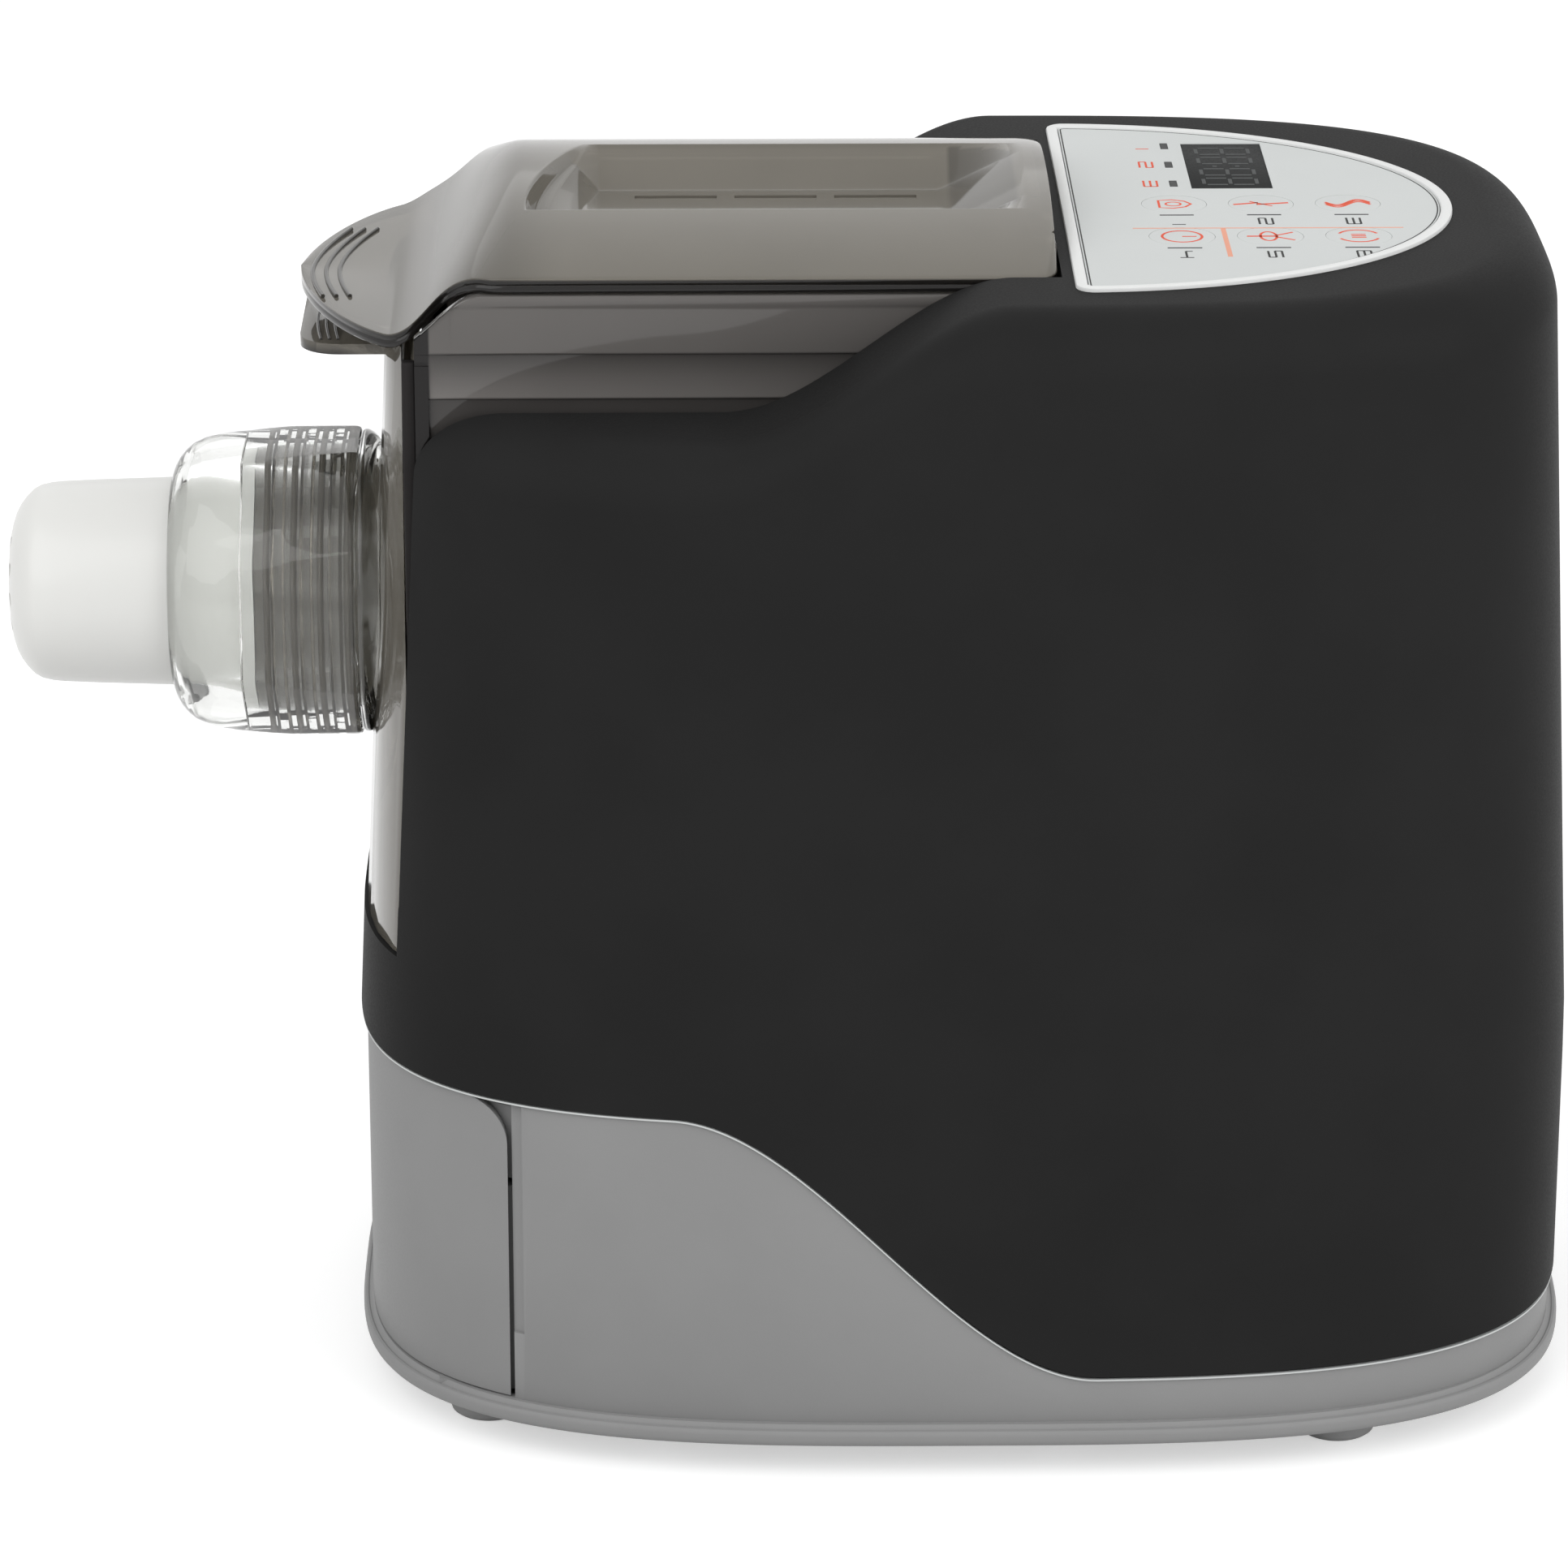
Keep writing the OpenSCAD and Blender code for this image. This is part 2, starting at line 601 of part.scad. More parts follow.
module lid_body() {
    n = 2 * len(lid_lines) + 4;
    k = len(lid_lines);
    last = (len(lid_places) - 1) * n;
    // The end of the lid in triangles, in the order of its outline
    cap = concat([for (i = [0 : k - 2]) each [[i, i + 1, n - 4 - i], [i, n - 4 - i, n - 3 - i]]],
        [[k - 1, k, k + 1], [k - 1, k + 1, k + 2], [0, n - 3, n - 2], [0, n - 2, n - 1]]);
    polyhedron(points = [for (x = lid_places) each lid_loop(x)],
        faces = concat(
            [for (j = [0 : len(lid_places) - 2]) for (i = [0 : n - 1])
                let (a = j * n + i, b = j * n + (i + 1) % n) each [[a, b, b + n], [a, b + n, a + n]]],
            [for (t = cap) [t[0], t[2], t[1]]],
            [for (t = cap) [last + t[0], last + t[1], last + t[2]]]));
}

module bowl_lid() {
    color("#8f8d86", 0.55) at_base() difference() {
        union() {
            lid_body();
            for (s = [-1, 1]) across_at(s * (hinge_y - hinge_ear / 2 - 2.9), 4.6) {
                translate(hinge_at) circle(3);
                translate([hinge_at[0] - 3, hinge_at[1]]) square([5, lid_crest_h - 2.4 - hinge_at[1]]);
            }
            rod(magnet_x - 0.5, lid_back - 1, magnet_r + 1.2, magnet_at);
        }
        for (s = [-1, 1]) {
            translate([hinge_at[0], s * hinge_y, hinge_at[1]]) rotate([90, 0, 0])
                cylinder(r = hinge_pin_r + fit, h = 18, center = true);
            box([hinge_at[0] - 4, s * hinge_y - hinge_ear / 2 - gap, hinge_at[1] - 13.3],
                [lid_back + 1, s * hinge_y + hinge_ear / 2 + gap, hinge_at[1] + 3.6]);
        }
        for (x = slots_x) box([x, 8, lid_crest_h - 21], [x + 18.5, 8 + slot_w, lid_crest_h - 1]);
        rod(magnet_x - 5, magnet_x + magnet_t, magnet_r + fit, magnet_at);
    }
}

module lid_magnet() {
    color("silver") at_base() rod(magnet_x, magnet_x + magnet_t, magnet_r, magnet_at);
}

module hinge_pins() {
    color("silver") at_base() for (s = [-1, 1]) translate([hinge_at[0], s * hinge_y, hinge_at[1]])
        rotate([90, 0, 0]) cylinder(r = hinge_pin_r, h = 17, center = true);
}

// Round-bottomed section of the bowl, drawn in (Y, Z)
module trough_section(r, top) {
    translate([0, axis_h]) circle(r);
    translate([-r, axis_h]) square([2 * r, top - axis_h]);
}

// Ear behind the bowl that carries one hinge pin of the lid
module hinge_ear(y) {
    across_at(y, hinge_ear) {
        translate(hinge_at) circle(3);
        polygon([[hinge_at[0] - 3, hinge_at[1]], [hinge_at[0] + 3, hinge_at[1]],
            [hinge_at[0] + 3, rim_h - 1], [bowl_back - 1, rim_h - 15], [bowl_back - 1, rim_h],
            [hinge_at[0] - 3, rim_h]]);
    }
}

module mixing_bowl() {
    rim_w = bowl_r + 1.8;
    color("#8a8680", 0.5) at_base() difference() {
        union() {
            difference() {
                union() {
                    along_x(bowl_front, bowl_back) trough_section(bowl_r, rim_h);
                    along_x(bowl_front, bowl_front + 3) trough_section(bowl_r + 1.2, rim_h);
                    box([bowl_front, -bowl_r - 0.6, rim_h - 23.7], [bowl_back, bowl_r + 0.6, rim_h]);
                    box([bowl_front, -bowl_r - 1.2, rim_h - 13.5], [bowl_back, bowl_r + 1.2, rim_h]);
                    box([bowl_front, -rim_w, rim_h - 2.5], [bowl_back, rim_w, rim_h]);
                    rod(bowl_back - 6, bowl_back + 1.2, 13, [0, axis_h]);
                }
                along_x(bowl_front - 1, bowl_back - bowl_wall) trough_section(bowl_r - bowl_wall, 300);
                across(80) polygon(concat(
                    [for (d = [-18 : 2 : 142]) let (x = bowl_front + d)
                        [x, min(rim_h, lid_rim(x) - lip_h - 0.5)]],
                    [[bowl_front + 142, far], [bowl_front - 18, far]]));
            }
            rod(bowl_back - 6, bowl_back - 1, 13, [0, axis_h]);
            for (s = [-1, 1]) hinge_ear(s * hinge_y);
        }
        rod(bowl_back - 20, bowl_back + 10, core_r + fit, [0, axis_h]);
        for (s = [-1, 1]) translate([hinge_at[0], s * hinge_y, hinge_at[1]]) rotate([90, 0, 0])
            cylinder(r = hinge_pin_r + fit / 5, h = 20, center = true);
    }
}

module bowl_seal() {
    color("#5a5754") at_base() along_x(bowl_front - seal_t, bowl_front) difference() {
        intersection() {
            trough_section(bowl_r - 0.4, far);
            translate([-100, 0]) square([200, plate_top - 1.2]);
        }
        trough_section(bowl_r - bowl_wall - 0.6, far);
    }
}

// Upright prism of the plan outline, leaning back with the shell's front
module leaning_front(inset) {
    lean = atan(end_draft);
    translate([front_x, 0, front_edge_z]) rotate([0, lean, 0]) translate([back_x, 0, -40])
        linear_extrude(260) polygon(outline(body_len / 2 - inset, body_wid / 2 - inset));
}

module front_plate() {
    tab_w = 25;
    lip_x = front_x - 10.2;     // foremost line of the plate's own grip tab
    tab_low = plate_top - 8.2;
    tab_r = 9;
    root_r = nut_rim + 2.8;
    rear = plate_back + 25;
    color("#8d8a84", 0.5) at_base() difference() {
        union() {
            intersection() {
                box([-far, -plate_side, plate_low_z], [plate_back, plate_side, plate_top]);
                leaning_front(plate_inset);
                union() {
                    difference() {
                        box([-far, -body_wid, plate_low_z - 20], [rear, body_wid, plate_top + 10]);
                        leaning_front(plate_inset + plate_wall);
                    }
                    for (s = [-1, 1]) box([-far, s * (plate_side - 1.3) - 1.3, plate_low_z - 20],
                        [rear, s * (plate_side - 1.3) + 1.3, plate_top + 10]);
                    along_x(-far, rear) difference() {
                        trough_section(bowl_r - 0.4, far);
                        trough_section(bowl_r - bowl_wall - 0.6, far + 1);
                    }
                    rod(-far, rear, root_r, [0, axis_h]);
                }
            }
            rod(mouth_x, plate_back - 4, barrel_r, [0, axis_h]);
            translate([0, 0, tab_low]) linear_extrude(2.4) difference() {
                union() {
                    translate([lip_x + tab_r, -tab_w]) square([11, 2 * tab_w]);
                    translate([lip_x, tab_r - tab_w]) square([20, 2 * (tab_w - tab_r)]);
                    for (s = [-1, 1]) translate([lip_x + tab_r, s * (tab_w - tab_r)]) circle(tab_r);
                }
                polygon(outline(half_len(tab_low) - 1.52, half_wid(tab_low) - 5.88));
            }
        }
        rod(-far, rear, barrel_r - barrel_wall, [0, axis_h]);
        difference() {
            rod(-far, ring_back, nut_rim + gap, [0, axis_h]);
            rod(-far - 1, rear, barrel_r, [0, axis_h]);
        }
    }
}

module barrel_ring() {
    color("#d9dcd8", 0.5) at_base() difference() {
        rod(ring_front, ring_back, nut_rim - 0.3, [0, axis_h]);
        rod(ring_front - 1, ring_back + 1, barrel_r + fit, [0, axis_h]);
    }
}

module die_nut() {
    back = nut_x + nut_len;
    color("#dfe3df", 0.4) at_base() difference() {
        translate([nut_x, 0, axis_h]) rotate([0, 90, 0]) rotate_extrude($fn = 96) polygon(concat(
            [[0, 0], [nut_rim * 0.69, 0]],
            [for (t = [15 : 15 : 90]) [nut_rim * 0.69 + nut_rim * 0.245 * sin(t), 7.5 * (1 - cos(t))]],
            [[nut_rim * 0.955, 11], [nut_rim * 0.985, 18], [nut_rim, 27], [nut_rim, nut_len - 1],
                [nut_rim - 1, nut_len], [0, nut_len]]));
        rod(mouth_x - 3.6, back + 1, barrel_r + fit, [0, axis_h]);
        rod(nut_x - 1, back, die_r + 0.2, [0, axis_h]);
        for (k = [0 : 2]) rod(mouth_x + 4 + k * thread_pitch, mouth_x + 6.6 + k * thread_pitch,
            barrel_r + 1.4, [0, axis_h]);
        for (a = [0 : 45 : 315]) translate([back + 1, 0, axis_h]) rotate([a, 0, 0])
            translate([0, 0, nut_rim + 20.8]) rotate([0, -91.6, 0]) cylinder(r = 22, h = 40);
    }
}

module pasta_die() {
    front = die_out - nut_x;
    flange = front + mouth_x - 3.4;     // from the tip to the flange that the nut holds
    color("#efefec") at_base() difference() {
        translate([-front, 0, axis_h]) rotate([0, 90, 0]) rotate_extrude($fn = 96) polygon(concat(
            [[0, 0], [5, 0], [die_r * 0.5, 0.6]],
            [for (t = [10 : 16 : 90]) [die_r * 0.955 - 6.5 + 6.5 * sin(t), 8.2 - 6.5 * cos(t)]],
            [[die_r * 0.96, 12], [die_r, flange], [barrel_r - 0.2, flange], [barrel_r - 0.2, flange + 3.2],
                [0, flange + 3.2]]));
        rod(-front + 6, mouth_x + 60, die_r * 0.955 - die_wall, [0, axis_h]);
        for (ring = [[0, 1], [6.5, 6], [13, 12]]) for (i = [0 : ring[1] - 1])
            rotate_hole(i * 360 / ring[1], ring[0], front);
    }
}

module rotate_hole(angle, radius, front) {
    rod(-front - 1, -front + 10, 1.5, [radius * cos(angle), axis_h + radius * sin(angle)]);
}

module extrusion_screw() {
    tail = bowl_back + 4;
    flight_from = mouth_x + 2;
    flight_to = bowl_front + 28;
    spread = 180 * flight_t / flight_pitch;
    hub_r = core_r + 0.6;
    color("#e8e6e0") at_base() difference() {
        union() {
            rod(mouth_x + 1, tail, core_r, [0, axis_h]);
            translate([flight_from, 0, axis_h]) rotate([0, 90, 0])
                linear_extrude(flight_to - flight_from, slices = 56, segments = 0,
                    twist = -360 * (flight_to - flight_from) / flight_pitch) polygon(concat(
                        [for (i = [-2 : 2]) flight_reach * [cos(i * spread / 2), sin(i * spread / 2)]],
                        [for (i = [1 : 15]) let (a = spread + i * (360 - 2 * spread) / 16)
                            hub_r * [cos(a), sin(a)]]));
        }
        along_x(tail - 27, tail + 1) translate([0, axis_h]) circle(hex_r + 0.25, $fn = 6);
    }
}

module mixing_paddle() {
    arm = 7;
    from = bowl_front + 32;
    to = bowl_back - 7;
    middle = (from + to) / 2;
    color("#dedbd4") at_base() difference() {
        union() {
            rod(from, to, core_r + 3.4, [0, axis_h]);
            for (side = [[0, from + 2], [180, to - 14]])
                translate([side[1], 0, axis_h]) rotate([side[0], 0, 0])
                    box([0, -arm / 2, core_r + 1], [10, arm / 2, paddle_reach - 2]);
            for (side = [[0, from + 2, middle - 2], [180, middle, to - 4]])
                translate([0, 0, axis_h]) rotate([side[0], 0, 0])
                    box([side[1], -3, paddle_reach - 8], [side[2], 3, paddle_reach - 1]);
        }
        rod(from - 10, to + 18, core_r + fit, [0, axis_h]);
    }
}

module panel_frame() {
    color("#f2f2f0") at_base() difference() {
        union() {
            translate([0, 0, panel_floor]) linear_extrude(deck_z + step - panel_floor)
                panel_shape(-trim_lap);
            translate([0, 0, deck_z]) linear_extrude(trim_up) panel_shape(0);
            for (p = board_holes) translate([p[0], p[1], board_z + board_t])
                cylinder(r = 3, h = panel_floor - board_z - board_t + 1);
        }
        translate([0, 0, panel_floor + panel_floor_t]) linear_extrude(20) panel_shape(-trim_w);
        for (x = key_cols) for (y = key_rows) translate([x, y, 0]) {
            cylinder(r = 2 + fit, h = 300);
            translate([0, 0, panel_floor + panel_floor_t - key_sink]) cylinder(r = key_r + 0.25, h = 20);
        }
        box([window_at[0] - 8, window_at[1] - 18, 200], [window_at[0] + 8, window_at[1] + 18, 300]);
        for (p = lamp_at) translate([p[0], p[1], 200]) cylinder(r = 1.2, h = 100);
        for (p = board_holes) translate([p[0], p[1], board_z]) cylinder(r = 1.1, h = 12);
    }
}

module panel_overlay() {
    color("#dcdedd") at_base() translate([0, 0, overlay_top - overlay_t]) difference() {
        linear_extrude(overlay_t) panel_shape(-trim_w - 0.15);
        for (x = key_cols) for (y = key_rows) translate([x, y, -1]) cylinder(r = key_r + 0.25, h = 4);
        translate([0, 0, -1]) linear_extrude(4) {
            translate(window_at - window_size / 2) square(window_size);
            for (p = lamp_at) translate(p - lamp_size / 2) square(lamp_size);
        }
    }
}

module display_window() {
    color("#3a3a3a") at_base() box(concat(window_at - window_size / 2 + [0.1, 0.1], overlay_top - overlay_t),
        concat(window_at + window_size / 2 - [0.1, 0.1], overlay_top - 0.15));
}

module indicator_lenses() {
    color("#4a4a48") at_base() for (p = lamp_at) {
        box(concat(p - lamp_size / 2 + [0.1, 0.1], overlay_top - overlay_t),
            concat(p + lamp_size / 2 - [0.1, 0.1], overlay_top));
        translate([p[0], p[1], board_z + board_t + gap])
            cylinder(r = 0.7, h = overlay_top - overlay_t + step - board_z - board_t - gap);
    }
}

module key_cap(col, row) {
    color("#dfe1e0") at_base() translate([key_cols[col], key_rows[row], 0]) {
        translate([0, 0, overlay_top - key_t]) cylinder(r = key_r, h = key_t);
        translate([0, 0, switch_top + key_travel + 0.1])
            cylinder(r = 2, h = overlay_top - key_t - switch_top - key_travel);
    }
}

module key_filled() { key_cap(0, 0); }
module key_quick() { key_cap(1, 0); }
module key_pasta() { key_cap(2, 0); }
module key_power() { key_cap(0, 1); }
module key_extrude() { key_cap(1, 1); }
module key_knead() { key_cap(2, 1); }

module control_board() {
    color("#2f6b3a") at_base() translate([0, 0, board_z]) difference() {
        linear_extrude(board_t) intersection() {
            panel_shape(-8);
            translate([panel_x + 3, -board_side]) square([panel_len - 11.7, 2 * board_side]);
        }
        for (p = board_holes) translate([p[0], p[1], -1]) cylinder(r = 1.25, h = 4);
    }
}

module tact_switches() {
    color("#3b3b3b") at_base() for (x = key_cols) for (y = key_rows) {
        box([x - 3, y - 3, board_z + board_t], [x + 3, y + 3, board_z + board_t + 3]);
        translate([x, y, board_z + board_t + 3]) cylinder(r = 1.7, h = switch_top - board_z - board_t - 3);
    }
}

module display_module() {
    color("#222222") at_base() box([window_at[0] - 7.5, window_at[1] - 17.5, board_z + board_t],
        [window_at[0] + 7.5, window_at[1] + 17.5, overlay_top - overlay_t - gap]);
}

module board_screws() {
    color("silver") at_base() for (p = board_holes) translate([p[0], p[1], board_z - 1.6]) {
        cylinder(r = 2.4, h = 1.6);
        cylinder(r = 1.05, h = 12);
    }
}

module shaft_seal() {
    color("#2d2d2d") at_base() difference() {
        rod(bay_back, bay_back + shell_wall + 1.4, 12.9, [0, axis_h]);
        rod(0, 60, shaft_r + fit, [0, axis_h]);
    }
}

module output_shaft() {
    color("#b9bcc0") at_base() {
        rod(bay_back - 0.4, case_back + 1, shaft_r, [0, axis_h]);
        along_x(bay_back - 26.5, bay_back) translate([0, axis_h]) circle(hex_r, $fn = 6);
    }
}

module output_bearing() {
    color("#a58a4e") at_base() for (x = [case_front - 2, case_back - 5]) difference() {
        rod(x, x + 6, 12, [0, axis_h]);
        rod(x - 1, x + 7, shaft_r + fit, [0, axis_h]);
    }
}

function inv(r, base) = let (q = sqrt(max(0, r * r / base / base - 1))) q * 180 / PI - atan(q);

// Involute gear outline with its first tooth turned to angle
module gear_shape(m, teeth, angle, addendum) {
    pitch_r = m * teeth / 2;
    base_r = pitch_r * cos(20);
    tip = pitch_r + addendum * m;
    root = pitch_r - 1.3 * m;
    half = 90 / teeth - backlash / 2 / pitch_r * 180 / PI + inv(pitch_r, base_r);
    foot = max(base_r, root + 0.1);
    radii = [root, foot, (foot + pitch_r) / 2, pitch_r, (pitch_r + tip) / 2, tip];
    polygon([for (i = [0 : teeth - 1]) for (s = [-1, 1]) for (k = [0 : 5])
        let (r = radii[s < 0 ? k : 5 - k],
            a = angle + 360 * i / teeth + s * (half - inv(max(r, base_r), base_r)))
        [r * cos(a), r * sin(a)]]);
}

// Turn of the second gear of a pair, whose teeth fall between those of the first
function mesh(turn, teeth_a, teeth_b, toward) =
    toward + 180 - (0.5 - (toward - turn) * teeth_a / 360) * 360 / teeth_b;

mid_pinion_turn = mesh(0, output_teeth, middle_pinion_teeth, mid_turn);
motor_dir = atan2(motor_at[1] - mid_at[1], motor_at[0] - mid_at[0]);
motor_pinion_turn = mesh(0, middle_teeth, pinion_teeth, motor_dir);

module output_gear() {
    color("#c9cbc8") at_base() difference() {
        union() {
            along_x(out_gear_x, out_gear_x + out_gear_t) translate([0, axis_h])
                gear_shape(mod_2, output_teeth, 0, 0.85);
            rod(out_gear_x, out_gear_x + out_gear_t + 6, 14, [0, axis_h]);
        }
        rod(0, 90, shaft_r + fit / 2, [0, axis_h]);
        for (a = [0 : 60 : 300]) rod(0, 90, 8, [28 * cos(a), axis_h + 28 * sin(a)]);
    }
}

module middle_gear() {
    color("#b3b6b5") at_base() difference() {
        union() {
            along_x(out_gear_x - 1, mid_gear_x) translate(mid_at)
                gear_shape(mod_2, middle_pinion_teeth, mid_pinion_turn, 1);
            along_x(mid_gear_x, mid_gear_x + mid_gear_t) translate(mid_at)
                gear_shape(mod_1, middle_teeth, 0, 0.85);
        }
        rod(0, 90, axle_r + fit, mid_at);
        for (a = [30 : 60 : 330]) rod(mid_gear_x - 0.5, 90, 6, mid_at + [21 * cos(a), 21 * sin(a)]);
    }
}

module middle_axle() {
    color("silver") at_base() rod(case_front, case_back + case_t, axle_r, mid_at);
}

module motor_pinion() {
    color("#b9bcc0") at_base() difference() {
        along_x(mid_gear_x - 1, mid_gear_x + mid_gear_t + 1) translate(motor_at)
            gear_shape(mod_1, pinion_teeth, motor_pinion_turn, 1);
        rod(0, 90, motor_shaft_r + fit / 4, motor_at);
    }
}

// Outline of the gear case, grown by extra
module case_shape(extra) {
    translate([0, axis_h]) circle(output_teeth * mod_2 / 2 + mod_2 + case_t + extra);
    translate([case_low[0] - extra, case_low[1] - extra])
        square([mid_at[0] + middle_teeth * mod_1 / 2 + mod_1 + case_t + 1 - case_low[0] + 2 * extra,
            axis_h - case_low[1] + extra]);
}

module gear_case() {
    color("#9aa0a2") at_base() difference() {
        union() {
            along_x(case_front, case_front + case_t) case_shape(0);
            along_x(case_front, case_back - gap) difference() {
                case_shape(0);
                case_shape(-case_t);
            }
            rod(case_front - 2, case_front + case_t + 2, 16, [0, axis_h]);
            rod(case_front, case_front + case_t + 2, 8, mid_at);
            for (s = [-1, 1]) box([case_front, s * 36 - 6, tray_top],
                [case_front + 15, s * 36 + 6, case_low[1] + 1]);
            for (p = case_bolts) rod(case_front, case_back - gap, 4, p);
        }
        rod(0, 90, 12 + fit, [0, axis_h]);
        rod(0, case_back, axle_r + fit / 5, mid_at);
        for (p = case_bolts) rod(case_back - 12, 90, 1.4, p);
    }
}

module gear_cover() {
    color("#8e9496") at_base() difference() {
        union() {
            along_x(case_back, case_back + case_t) case_shape(0);
            rod(case_back - 5, case_back + 1, 16, [0, axis_h]);
            rod(mid_gear_x + mid_gear_t + 0.6, case_back + 1, 8, mid_at);
        }
        rod(0, case_back + 1.2, 12 + fit, [0, axis_h]);
        rod(0, 90, axle_r + fit / 5, mid_at);
        rod(0, 90, 14, motor_at);
        for (p = case_bolts) rod(0, 90, 1.7, p);
    }
}

module case_screws() {
    color("silver") at_base() for (p = case_bolts) {
        rod(case_back + case_t, case_back + case_t + 2, 3.2, p);
        rod(case_back - 8, case_back + case_t, 1.35, p);
    }
}

module motor_case() {
    color("#7d8386") at_base() difference() {
        rod(motor_x, motor_end - 4, motor_r, motor_at);
        rod(motor_x + 4, motor_end, motor_r - 2.5, motor_at);
        rod(0, 200, 9 + fit, motor_at);
        for (a = [45 : 90 : 315]) rod(0, motor_x + 10, 5, motor_at + [24 * cos(a), 24 * sin(a)]);
    }
}

module motor_cap() {
    color("#757b7e") at_base() difference() {
        rod(motor_end - 4, motor_end, motor_r, motor_at);
        rod(0, 200, 9 + fit, motor_at);
        for (a = [0 : 45 : 315]) rod(0, 200, 5.5, motor_at + [26 * cos(a), 26 * sin(a)]);
    }
}

module stator_core() {
    color("#5f6366") at_base() difference() {
        rod(motor_x + 16, motor_end - 16, motor_r - 2.6, motor_at);
        rod(0, 200, 22.5, motor_at);
        for (a = [0 : 30 : 330]) rod(0, 200, 3.2, motor_at + [28 * cos(a), 28 * sin(a)]);
    }
}

module stator_coils() {
    color("#a8622f") at_base() for (x = [motor_x + 7, motor_end - 15.8]) difference() {
        rod(x, x + 8.8, 35, motor_at);
        rod(0, 200, 24, motor_at);
    }
}

module rotor_core() {
    color("#6b6f72") at_base() difference() {
        rod(motor_x + 14, motor_end - 14, 22, motor_at);
        rod(0, 200, motor_shaft_r + fit / 4, motor_at);
    }
}

module motor_shaft() {
    color("silver") at_base() rod(mid_gear_x - 1.6, motor_end + 9, motor_shaft_r, motor_at);
}

module motor_bearings() {
    color("#a9adb0") at_base() for (x = [motor_x, motor_end - 4]) difference() {
        rod(x, x + 4, 9, motor_at);
        rod(0, 200, motor_shaft_r + fit, motor_at);
    }
}

module cooling_fan() {
    color("#3d3d3d") at_base() difference() {
        union() {
            rod(motor_end + 1, motor_end + 8, 9, motor_at);
            rod(motor_end + 1, motor_end + 2.2, 30, motor_at);
            for (a = [0 : 40 : 320]) translate([motor_end + 1, 0, motor_at[1]]) rotate([a, 0, 0])
                box([0.5, -0.7, 8], [6.5, 0.7, 29]);
        }
        rod(0, 200, motor_shaft_r + fit / 4, motor_at);
    }
}

module motor_cradle() {
    color("#707070") at_base() difference() {
        for (x = [motor_x + 8, motor_end - 16]) {
            box([x, -26, tray_top], [x + 6, 26, motor_at[1] - 22]);
            box([x - 5, -26, tray_top], [x + 11, 26, tray_top + 3]);
        }
        rod(0, 200, motor_r + fit * 2, motor_at);
    }
}

module power_board() {
    color("#2f6b3a") at_base() difference() {
        box(concat(board_at, tray_top + 4), concat(board_at + [64, board_t], tray_top + 97.5));
        for (x = [5, 59]) translate([board_at[0] + x, board_at[1] - 2, 20]) rotate([-90, 0, 0])
            cylinder(r = board_t, h = 6);
    }
}

module board_parts() {
    color("#4c4c52") at_base() translate([board_at[0], board_at[1], tray_top]) {
        box([6, -7.5, 19.5], [24, 0, 45.5]);
        box([30, -10, 15.5], [52, 0, 31.5]);
        for (z = [49.5, 71.5]) translate([39, 0, z]) rotate([90, 0, 0]) cylinder(r = 8, h = 14);
        box([50, -6, 51.5], [62, 0, 81.5]);
        for (x = [2, 56]) box([x, -4, 0], [x + 6, 0, 16]);
    }
}

module lid_sensor() {
    color("#2a2a2a") at_base() box([bay_back + shell_wall + 0.2, magnet_at[0] - 7, panel_floor - 6],
        [bay_back + shell_wall + 6, magnet_at[0] + 7, panel_floor - 0.4]);
}

feet();
base_tray();
base_housing();
base_screws();
storage_drawer();
body_shell();
cord_gland();
mixing_bowl();
bowl_seal();
front_plate();
barrel_ring();
die_nut();
pasta_die();
extrusion_screw();
mixing_paddle();
bowl_lid();
hinge_pins();
panel_frame();
panel_overlay();
display_window();
indicator_lenses();
key_filled();
key_quick();
key_pasta();
key_power();
key_extrude();
key_knead();
control_board();
tact_switches();
display_module();
board_screws();
shaft_seal();
output_bearing();
output_shaft();
output_gear();
gear_case();
gear_cover();
case_screws();
middle_axle();
middle_gear();
motor_pinion();
motor_case();
motor_cap();
stator_core();
stator_coils();
rotor_core();
motor_shaft();
motor_bearings();
cooling_fan();
motor_cradle();
power_board();
board_parts();
lid_sensor();
lid_magnet();
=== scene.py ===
import math

import bmesh
import bpy
import numpy as np
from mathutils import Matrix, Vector

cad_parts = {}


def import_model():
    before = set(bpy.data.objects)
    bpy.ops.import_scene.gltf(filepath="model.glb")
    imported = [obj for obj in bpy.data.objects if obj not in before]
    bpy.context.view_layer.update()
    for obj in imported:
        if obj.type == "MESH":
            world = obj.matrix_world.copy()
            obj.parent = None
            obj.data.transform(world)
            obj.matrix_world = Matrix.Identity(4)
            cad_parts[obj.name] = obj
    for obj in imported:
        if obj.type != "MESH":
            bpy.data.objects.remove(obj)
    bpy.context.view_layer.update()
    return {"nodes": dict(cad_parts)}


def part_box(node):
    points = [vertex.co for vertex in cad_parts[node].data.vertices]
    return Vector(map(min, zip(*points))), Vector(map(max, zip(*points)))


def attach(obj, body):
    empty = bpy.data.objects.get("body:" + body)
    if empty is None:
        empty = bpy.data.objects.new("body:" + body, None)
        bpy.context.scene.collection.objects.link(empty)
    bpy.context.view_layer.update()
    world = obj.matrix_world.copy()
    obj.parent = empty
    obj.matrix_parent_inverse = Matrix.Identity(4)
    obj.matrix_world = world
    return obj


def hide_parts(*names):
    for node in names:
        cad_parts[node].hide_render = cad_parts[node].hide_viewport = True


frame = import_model()
scene = bpy.context.scene
mm = 0.001
dieTip = 217.2                                  # the die stands this far in front of the base centre, mm
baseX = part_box("pasta_die")[0].x / mm + dieTip  # base centre in the row frame, mm
print("frame loaded, base centre at", round(baseX, 3), "mm")


